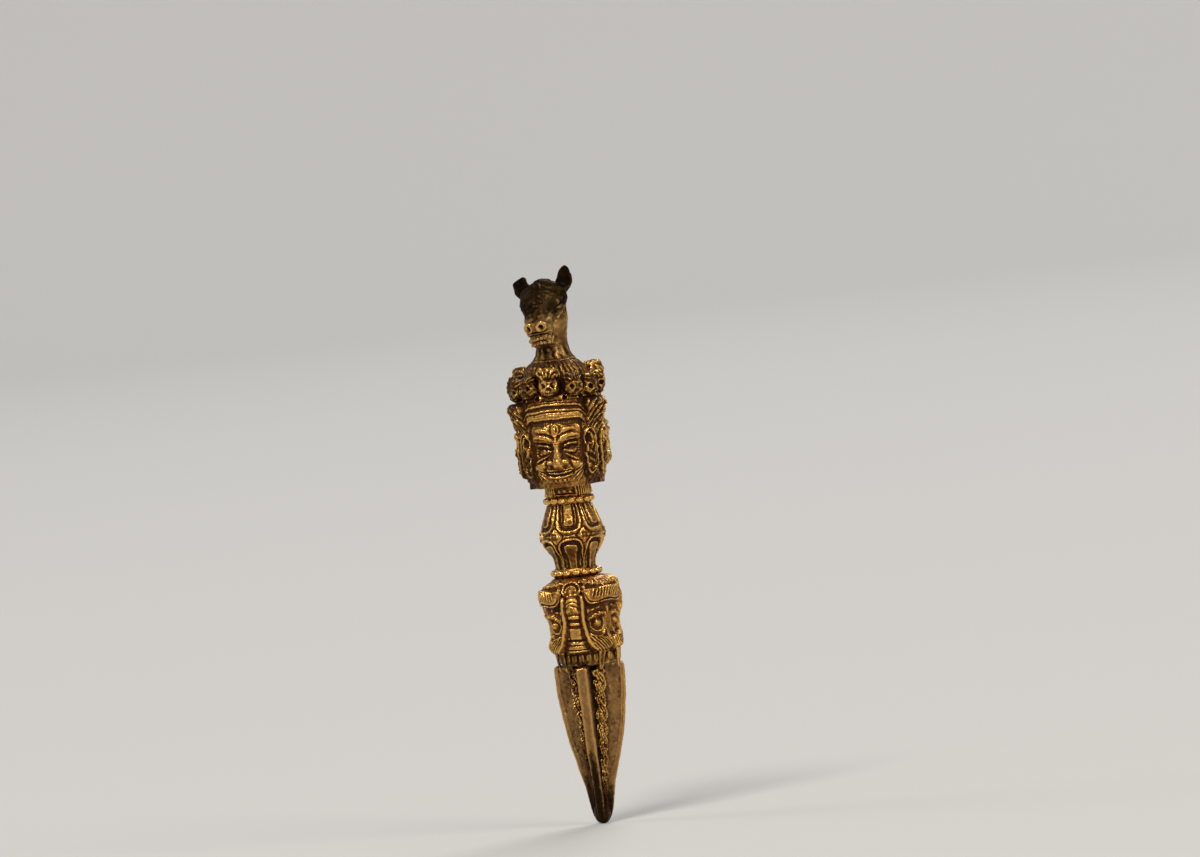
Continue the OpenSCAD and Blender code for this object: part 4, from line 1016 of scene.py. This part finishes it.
def diadem(d):
    """Flat mouldings between the forehead and the crown; they droop at their ends."""
    x, y = d.x, d.y
    rise = ramp(y, 9.6, 11.9)
    droop = (0.06 + 0.4 * rise) * (x / 4.4) ** 2 + 1.5 * np.clip((x - 3.8) / 1.4, 0, 9) ** 2
    v = y - 9.75 + droop
    band = smooth(v, [
        [-0.2, -0.9], [-0.05, -0.1], [0.08, 0.24], [0.2, 0.3], [0.3, 0.22], [0.4, 0.3], [0.66, 0.34],
        [0.74, 0.26], [0.82, 0.34], [0.98, 0.3], [1.08, 0.16], [1.14, 0.2], [1.24, 0.46], [1.38, 0.54],
        [1.52, 0.44], [1.62, 0.12], [1.85, 0.04], [2.0, 0.1], [2.1, 0.34], [2.24, 0.44], [2.38, 0.32],
        [2.5, 0.0], [2.62, -0.08], [3.6, -0.3]])
    nicks = 0.05 * np.sin(TAU * x / 0.83 + 1) * bell(v - 1.38, 0.14)
    return 6.34 + band + nicks - 0.03 * x - 2 * ramp(x, 4.95, 5.3)


def locks(a, y):
    """Tufts of flame between two faces. Their strands lie at right angles to the distance
    run = y - 1.15 s, s the way round from the tuft's middle; at the back they part."""
    base = smooth(y, [[0, 3.5], [5.5, 4.5], [6.8, 5.7], [7.6, 6.2], [8.6, 6.45], [9.4, 6.7], [10.4, 7.05],
        [11.3, 7.22], [11.9, 7.2], [12.2, 7.0], [12.4, 6.6]])
    h = np.zeros(a.shape)
    for middle, way in ((60, 1), (180, 0), (300, -1)):
        s = 6.6 * np.radians(a - middle)
        across = way * s if way else np.abs(s)
        run = y - 1.15 * across + 0.22 * np.sin(2.1 * across + 0.6 * y)
        tuft = base + 0.19 * wave(run, 1.05) + 0.09 * wave(run, 0.35, 1)
        for cs, cy in ((-1.2, 11.5), (0.2, 11.7), (1.4, 11.2), (0.9, 9.9), (-0.5, 10.2)):
            q = np.hypot(s - cs, y - cy)
            tuft = tuft + 0.3 * bell(q, 0.42, 3) * (1 + 0.3 * wave(q, 0.36))
        edge = 2.12 + 0.12 * np.sin(3.1 * y + middle) - 0.03 * (y - 9)
        h = np.maximum(h, tuft - 2.4 * ramp(np.abs(s), edge - 0.35, edge + 0.1))
    return h


d = Drawing(6.91, Z_CROWN - Z_HEAD, 96, 168)
floor_h = smooth(d.y, [[0, 4.6], [0.3, 4.75], [0.6, 4.9], [1, 5.2], [11, 5.8], [12.4, 5.9]])
r = all_round(np.maximum(np.maximum(face(d), ear_relief(d)), np.maximum(diadem(d), floor_h)), 3)
a = angles(r.shape[1])
y = all_round(d.y, 3)
p = standing(np.maximum(r, locks(a + 0 * y, y)), a, Z_HEAD + y)
p = weathered(p, 0.6, (0.02, 0.6, 112), (0.008, 0.3, 113))
wear_and_glint = marks(p, True)
rows_per_mm = (len(p) - 1) / (Z_CROWN - Z_HEAD)
brow_row, lock_row = round(DIADEM_FOOT * rows_per_mm), round(LOCKS_FOOT * rows_per_mm)
for name, a in (("face_front", 0), ("face_right", 120), ("face_left", -120)):
    # the lighter patch over the brows and forehead is a painted highlight
    brow = turned(np.array([0, -6.0, 56.7]), a)
    front = walled(p, wear_and_glint, CORE_R, columns(p, a - FACE_HALF, a + FACE_HALF), slice(0, brow_row + 1))
    piece(name, [front], smudges_and_highlights=((-0.75, brow, (4.5, 4.5, 1.2)),))
# between two faces the ears lie below the locks, and over each face lies a diadem
for name, low, high, rows, smoked in (
        ("ears", FACE_HALF, 120 - FACE_HALF, slice(0, lock_row + 1), 0.6),
        ("locks", FACE_HALF, 120 - FACE_HALF, slice(lock_row, None), 0.9),
        ("diadems", -FACE_HALF, FACE_HALF, slice(brow_row, None), -0.45)):
    parts = [walled(p, wear_and_glint, CORE_R, columns(p, a + low, a + high), rows) for a in THIRDS]
    piece(name, parts, smoked=smoked)


# Crown

def drum_grid():
    """The crown's band with a drilled pit between each two skulls, wider apart at every
    second skull, and the drum behind them."""
    d = Drawing(1.6, Z_DOME - Z_CROWN, 24, 50)
    x, y = d.x, d.y
    d.h = smooth(y, [[0, 6.0], [0.15, 6.12], [0.3, 6.15], [0.8, 6.0], [1.0, 5.75], [1.4, 5.2], [2.0, 4.9],
        [3.4, 4.7]])
    q = np.hypot(x - 1.6, y - 0.42)
    d.h += 0.12 * bell(q - 0.45, 0.12)
    d.h -= 0.9 * (1 - ramp(q, 0.25, 0.4))
    d.h += 0.05 * wave(x, 0.4) * ramp(y, 1.2, 1.6)
    r = all_round(d.h, 12)
    a = angles(r.shape[1])
    return standing(r, a + 4 * np.sin(np.radians(6 * a)) - 1, Z_CROWN + all_round(d.y, 12))


piece("crown_drum", [ring_of(drum_grid())], smoked=0.3)


def skull(r, crop, seed):
    """A displaced sphere that looks along -Y. In its own units, radius 1: the brow, cheeks
    and teeth stand out, two eye pits, a nose pit and a mouth are sunk, and tufts swept up
    from the brow lengthen its top by the crop."""
    v, u = globe(66, 84)
    n = np.stack([np.cos(v) * np.sin(u), -np.cos(v) * np.cos(u), np.sin(v) + 0 * u], -1)
    x, z, front = n[..., 0], n[..., 2], ramp(-n[..., 1], 0.0, 0.5)
    top = ramp(z, 0.42, 0.62)
    size = 1 + crop * ramp(z, 0.45, 1.0)
    strands = np.cos(17 * np.arctan2(x, z - 0.15) + 0.8 * math.sin(seed))
    size += (
        top * (0.075 * strands * ramp(1 - z, 0, 0.1) + 0.05 * wave(z - 0.5, 0.2)) + 0.05 * n[..., 1] * top)
    ax = np.abs(x)

    def spot(cx, cz, a, b, power=2):
        return np.exp(-np.hypot((ax - cx) / a, (z - cz) / b) ** power) * front

    size += (
        0.08 * spot(0.42, 0.36, 0.42, 0.14) + 0.1 * spot(0.6, -0.32, 0.3, 0.24)
        + 0.12 * spot(0, -0.72, 0.42, 0.2))
    size -= 0.5 * spot(0.5, 0.04, 0.21, 0.21, 5) + 0.24 * spot(0.1, -0.34, 0.13, 0.13, 3)
    size -= 0.1 * spot(0, -0.63, 0.55, 0.06) + 0.04 * spot(0.95, -0.4, 0.25, 0.5)
    size += 0.04 * wave(x, 0.18) * bell(z + 0.66, 0.14) * front
    p = n * size[..., None]
    p[..., 2] = np.where(p[..., 2] < 0, p[..., 2] * 1.1, p[..., 2])
    p[..., 0] *= 1.06 - 0.08 * ramp(-z, 0.35, 0.9)
    p = handmade(p * r, 0.12, seed)
    return p + facing(p, True, False) * (0.03 * grain(p, 0.55, seed))[..., None]


# Radius, height over the diadems, turn from the middle of a face, and crop of tufts
SKULLS = ((1.5, 2.2, -2, 0.85), (1.36, 1.85, 32, 0.4), (1.3, 1.5, 60, 0.5), (1.36, 1.85, 86, 0.4))
skulls = []
for k in range(12):
    r, lift, turn, crop = SKULLS[k % 4]
    p = skull(r, crop, 131 + k) + [0, -5.74, Z_CROWN + lift]
    skulls.append(shell(turned(p, turn + 120 * (k // 4))))
piece("skulls", skulls, smoked=0.4, smudges_and_highlights=((-0.45, (-0.9, -6, 63.4), (1.6, 2.5, 3)),
    (0.3, (6, -3, 63.4), (3.5, 5, 3))))


def dome_grid():
    """Strands of hair, each a rounded rib, drawn in and slightly twisted to the finial's foot."""
    t = np.linspace(0, 1, 40)[:, None]
    a = angles(540)[None]
    r = smooth(t, [[0, 4.72], [0.3, 4.6], [0.6, 4.2], [0.85, 3.6], [1, 3.18]])
    rib = np.abs(np.sin(np.radians(18 * a) + 1.1 * t))
    r = r - 0.32 * (1 - rib ** 0.6) * ramp(1 - t, 0.02, 0.3)
    return standing(r, a, Z_DOME + (Z_FINIAL - Z_DOME) * t)


piece("hair_dome", [ring_of(dome_grid())], smoked=0.25)


# Finial: socket and horse

def socket_grid():
    """A throat that flares to the dome, with shallow folds."""
    t = np.linspace(0, 1, 40)[:, None]
    a = angles(300)[None]
    r = smooth(t, [[0, 3.18], [0.1, 2.95], [0.22, 2.72], [0.4, 2.48], [0.65, 2.3], [0.85, 2.22], [1, 2.2]])
    folds = 0.05 * np.cos(np.radians(14 * a) + 2 * t) * ramp(1 - t, 0, 0.4)
    return standing(r + folds, a, Z_FINIAL + (Z_HORSE - Z_FINIAL) * t)


piece("finial_socket", [ring_of(socket_grid())], "horse_gilt")

# Rings of the horse: y, z, half-width, half-depth, and lean in degrees
NECK_RINGS = [
    [0, 0, 2.2, 2.2, 0], [0.1, 0.8, 2.15, 2.2, 0], [0.2, 1.6, 2.2, 2.35, 0], [0.5, 3.2, 2.4, 2.65, 0],
    [0.9, 5, 2.4, 2.7, 0], [1.1, 6.8, 2.2, 2.3, 0], [0.9, 8.1, 1.5, 1.6, 0], [0.75, 8.6, 0.8, 0.9, 0],
    [0.7, 8.8, 0.1, 0.1, 0],
]
HEAD_RINGS = [
    [-4.62, 1.62, 0.15, 0.12, -34], [-4.55, 1.7, 1.0, 0.6, -35], [-4.4, 1.9, 1.68, 1.15, -36],
    [-4.0, 2.4, 1.98, 1.55, -40], [-3.3, 3.15, 1.95, 1.55, -42], [-2.5, 4.0, 2.3, 1.75, -44],
    [-1.7, 4.9, 2.95, 2.05, -45], [-0.9, 5.8, 3.45, 2.3, -47], [-0.1, 6.8, 3.6, 2.3, -50],
    [0.5, 7.6, 2.7, 1.75, -55], [0.8, 8.1, 1.6, 1.1, -60], [0.9, 8.4, 0.8, 0.55, -60],
    [0.92, 8.5, 0.15, 0.1, -60],
]
JAW_RINGS = [
    [-3.78, 0.3, 0.15, 0.2, -60], [-3.74, 0.32, 0.95, 0.85, -60], [-3.55, 0.45, 1.42, 1.2, -58],
    [-2.9, 1.05, 1.62, 1.4, -52], [-2.0, 2.0, 1.8, 1.45, -48], [-1.0, 3.2, 1.9, 1.3, -46],
    [-0.7, 3.6, 0.3, 0.3, -46],
]


def lofted(table, rows, cols, square=2.0):
    """Rings between those of the table [y, z, half-width, half-depth, lean]: each is the
    superellipse of X and a direction that leans from +Y towards +Z."""
    table = np.asarray(table, float)
    s = np.linspace(0, len(table) - 1, rows)
    y, z, rx, ry, lean = (flowing_at(table[:, i], s)[:, None] for i in range(5))
    t = np.arange(cols)[None] * TAU / cols
    c, d = (np.sign(f) * np.abs(f) ** (2 / square) for f in (np.cos(t), np.sin(t)))
    lean = np.radians(lean)
    return np.stack([rx * c, y + ry * d * np.cos(lean), z + ry * d * np.sin(lean)], -1)


def flowing_at(values, s):
    """Monotone cubic through values at 0, 1, 2 ..., read at s."""
    return smooth(s, np.c_[np.arange(len(values)), values])


def carved(p, *strokes):
    """Each stroke (half-width w, height k, points...) moves the surface along its normal by
    k exp(-(d / w)^2) at the distance d from the curve; x is taken without its sign."""
    n = facing(p, True, False)
    fold = np.stack([np.abs(p[..., 0]), p[..., 1], p[..., 2]], -1)
    move = np.zeros(p.shape[:2])
    for w, k, *points in strokes:
        if len(points) == 1:
            d = np.linalg.norm(fold - points[0], axis=-1)
        else:
            d, _ = to_path(fold, flowing(points, 4))
        move += k * bell(d, w)
    return p + n * move[..., None]


def posed(p):
    """The horse's head turned to its own right and tilted about the muzzle, on the socket."""
    tilt = math.radians(-6)
    x, y, z = p[..., 0], p[..., 1], p[..., 2] - 2.5
    p = np.stack([x * math.cos(tilt) + z * math.sin(tilt), y,
        z * math.cos(tilt) - x * math.sin(tilt) + 2.5], -1)
    return turned(p, -17) + [0, 0, Z_HORSE]


def horse_shells():
    """Neck, head, jaw, forelock and ears as closed forms, and two rows of teeth. Strokes and
    hairs move the neck, head and forelock along their normals."""
    neck = lofted(NECK_RINGS, 150, 170)
    a = np.arctan2(neck[..., 0], -neck[..., 1] + 0.8)
    back = ramp(np.abs(a), 1.1, 1.5)
    mane = 0.13 * wave(np.abs(a) * 2.6 + 0.16 * neck[..., 2]) * back * ramp(neck[..., 2], 0.5, 2)
    crest = 0.3 * bell(np.pi - np.abs(a), 0.25) * ramp(neck[..., 2], 1, 3)
    neck = neck + facing(neck, True, False) * (mane + crest * 0.6)[..., None]
    neck = carved(neck, (0.25, 0.22, (0.3, -1.9, 0.2), (0.6, -2.0, 1.0)))

    head = lofted(HEAD_RINGS, 150, 150, 2.3)
    head = carved(
        head,
        (0.48, 0.3, (1.0, -4.95, 2.75)), (0.33, -0.8, (1.0, -5.2, 2.55)),
        (0.15, 0.16, (1.0, -5.0, 3.2), (1.5, -4.8, 2.9), (1.5, -4.8, 2.3), (1.0, -5.0, 1.95),
            (0.5, -5.1, 2.3), (0.5, -5.1, 2.9), (1.0, -5.0, 3.2)),
        (0.5, -0.3, (0, -4.6, 3.3)), (0.3, 0.16, (0, -4.9, 1.6), (1.0, -4.7, 1.5), (1.7, -4.0, 1.7)),
        (0.16, -0.2, (0, -4.9, 1.95), (1.0, -4.8, 1.85), (1.7, -4.1, 2.1)), (0.6, 0.25, (2.6, -1.9, 5.5)),
        (0.25, 0.22, (1.9, -2.4, 6.1), (2.5, -2.0, 6.3), (3.1, -1.4, 6.1)),
        (0.15, -0.2, (2.0, -2.6, 5.3), (2.6, -2.2, 5.1), (3.1, -1.6, 5.4)),
        (0.14, -0.14, (2.0, -2.6, 5.35), (2.6, -2.1, 5.8), (3.1, -1.6, 5.5)),
        (0.4, 0.22, (1.8, -2.7, 4.6), (1.8, -3.5, 3.6)), (0.35, 0.2, (0.5, -3.3, 6.4)),
        (0.28, 0.3, (0.35, -3.1, 7.1)), (0.22, 0.28, (0.85, -3.0, 6.1)), (0.2, 0.25, (0.2, -3.5, 5.6)),
        (0.35, 0.25, (2.5, -0.9, 4.4), (2.2, -1.4, 3.6)),
    )
    jaw = lofted(JAW_RINGS, 70, 90, 2.4)
    teeth = [
        block((2.1, 0.88 - 0.66 * row), (0.53, 0.46, 0.6), turn + 7 * row, 0, 3)
        + [-0.4, -2.0 + 0.38 * row, 0]
        for row in (0, 1) for turn in range(-45, 46 - 15 * row, 15)]

    v, u = globe(40, 60)
    tuft = np.stack([1.7 * np.cos(v) * np.cos(u) + 0.2, 1.7 * np.cos(v) * np.sin(u) - 0.3,
        1.45 * np.sin(v) + 7.95 + 0 * u], -1)
    lines = 0.03 * wave(tuft[..., 0] * 1.1 + 0.3 * tuft[..., 2])
    tuft = tuft + facing(tuft, True, False) * lines[..., None]
    # the neck stands upright on the socket: only the head is turned
    forms = (
        [neck + [0, 0, Z_HORSE]]
        + [posed(form) for form in (head, jaw + [-0.4, 0, 0], tuft, ear(-1), ear(1))])
    teeth = [handmade(posed(q)) for q in teeth]
    # the teeth are less rubbed than other crests, and get less painted highlight
    return (
        [shell(handmade(f)) for f in forms]
        + [shell(q, wear_and_glint=[0.3 * m for m in marks(q, True)]) for q in teeth])


def ear(side):
    """A cupped leaf: its ring is half an ellipse behind and a shallower, hollow half in front.
    The left one is the shorter and rounder."""
    length, blunt = (3.75, 0.7) if side < 0 else (4.4, 0.0)
    t = np.linspace(0, 1, 60)[:, None]
    r = smooth(t, [[0, 0.7], [0.15, 1.0], [0.35, 1.25], [0.55, 1.12 + 0.3 * blunt],
        [0.78, 0.8 + 0.6 * blunt], [0.91, 0.5 + blunt], [0.98, 0.22 + blunt], [1, 0.05]])
    q = np.arange(56)[None] * TAU / 56
    cup = ramp(t, 0.15, 0.4) * 0.9
    front = np.where(np.sin(q) < 0, 0.62 - cup * (0.78 * np.abs(np.sin(q)) ** 0.8), 0.62)
    x, y = 1.05 * r * np.cos(q), r * np.sin(q) * front
    p = np.stack([x - side * 0.75 * (1 - ramp(t, 0, 0.6)), y, length * t + 0 * q], -1)

    def spin(p, axis, degrees):
        c, s = math.cos(math.radians(degrees)), math.sin(math.radians(degrees))
        i, j = [(1, 2), (2, 0), (0, 1)][axis]
        out = p.copy()
        out[..., i], out[..., j] = c * p[..., i] - s * p[..., j], s * p[..., i] + c * p[..., j]
        return out

    p = spin(spin(spin(p, 0, -4), 1, side * 12), 2, side * 12)
    return p + [side * 3.0 + 0.02, 0.1, 6.25]


piece("horse_head", horse_shells(), "horse_gilt")


# Studio: a wide pale dish for the floor, soft lamps, and the camera

def studio_floor():
    """A flat disc of 2.2 m radius whose rim curves up through a quarter of a circle."""
    t = np.linspace(0, 1, 40)
    r = np.concatenate([[0.001, 300, 1200], 2200 + 900 * np.sin(t * math.pi / 2)])
    z = np.concatenate([[0, 0, 0], 900 * (1 - np.cos(t * math.pi / 2))])
    p = standing(r[:, None], angles(180)[None], z[:, None])[:, ::-1] * MM
    n = p.shape[1]
    index = np.arange(p.shape[0] * n).reshape(-1, n)
    g = np.c_[index, index[:, :1]]
    faces = np.stack([g[:-1, :-1], g[1:, :-1], g[1:, 1:], g[:-1, 1:]], -1).reshape(-1, 4)
    mesh = bpy.data.meshes.new("floor")
    mesh.from_pydata(p.reshape(-1, 3).tolist(), [], faces[:, ::-1].tolist())
    mesh.shade_smooth()
    paint = bpy.data.materials.new("matt_paint")
    paint.use_nodes = True
    paint.node_tree.nodes.clear()
    s = add(paint.node_tree, "BsdfPrincipled", Base_Color=linear("#c9c8c6"), Roughness=0.9)
    add(paint.node_tree, "OutputMaterial", Surface=s)
    mesh.materials.append(paint)
    obj = put("floor", mesh)


studio_floor()

AZIMUTH, ELEVATION, ROLL = 8.5, 2.5, 6.15
DISTANCE, LAMP_DISTANCE = 1.5, 3.2
# Width of the camera's sensor, in millimetres
SENSOR = 36
# The photograph is 1200 pixels wide, 7 of which make a millimetre at the dagger
PICTURE_WIDTH = 1200 / 7.0 * MM
# Where the picture's middle lies: right of the dagger's tip, and above it
AIM_RIGHT, AIM_UP = 5.52 * MM, 56.25 * MM


def unit(azimuth, elevation):
    """Direction from the object towards a place seen at these angles."""
    a, e = math.radians(azimuth), math.radians(elevation)
    return np.array([math.sin(a) * math.cos(e), -math.cos(a) * math.cos(e), math.sin(e)])


def looking(obj, place, target, roll=0.0):
    """Puts obj at a place, its -Z towards the target, rolled clockwise by `roll` degrees."""
    back = (place - target) / np.linalg.norm(place - target)
    right = np.cross([0, 0, 1], back)
    right /= np.linalg.norm(right)
    up = np.cross(back, right)
    c, s = math.cos(math.radians(roll)), math.sin(math.radians(roll))
    m = np.eye(4)
    m[:3, 0], m[:3, 1], m[:3, 2], m[:3, 3] = c * right - s * up, c * up + s * right, back, place
    obj.matrix_world = Matrix(m.tolist())


def lamp(name, azimuth, elevation, size, watts, colour):
    """A square soft box that looks at the dagger's middle and is hidden from the camera."""
    data = bpy.data.lights.new(name, "AREA")
    data.shape = "SQUARE"
    data.size = size
    data.energy = watts
    data.color = linear(colour)[:3]
    obj = put(name, data)
    obj.visible_camera = False
    middle = np.array([0, 0, 0.045])
    looking(obj, middle + LAMP_DISTANCE * unit(azimuth, elevation), middle)


# name, azimuth and elevation in degrees, size in metres, watts and colour
for row in (
        ("key", -16, 50, 1.0, 54.0, "#fffaf2"), ("fill", 55, 32, 1.4, 24.0, "#fff6ea"),
        ("back", 170, 50, 1.3, 36.0, "#ffffff"), ("left", -110, 35, 1.2, 11.0, "#ffffff")):
    lamp(*row)

world = bpy.data.worlds.new("studio")
bpy.context.scene.world = world
world.use_nodes = True
world.node_tree.nodes.clear()
sky = add(world.node_tree, "Background", Color=linear("#f4f4f4"), Strength=0.3)
add(world.node_tree, "OutputWorld", Surface=sky)

camera = put("camera", bpy.data.cameras.new("camera"))
camera.data.sensor_width = SENSOR
camera.data.lens = SENSOR * DISTANCE / PICTURE_WIDTH
camera.data.clip_start = 0.05
camera.data.clip_end = 20
across = np.array([math.cos(math.radians(AZIMUTH)), math.sin(math.radians(AZIMUTH)), 0])
aim = AIM_RIGHT * across + [0, 0, AIM_UP]
looking(camera, aim + DISTANCE * unit(AZIMUTH, ELEVATION), aim, ROLL)
bpy.context.scene.camera = camera
bpy.context.scene.view_settings.view_transform = "Standard"
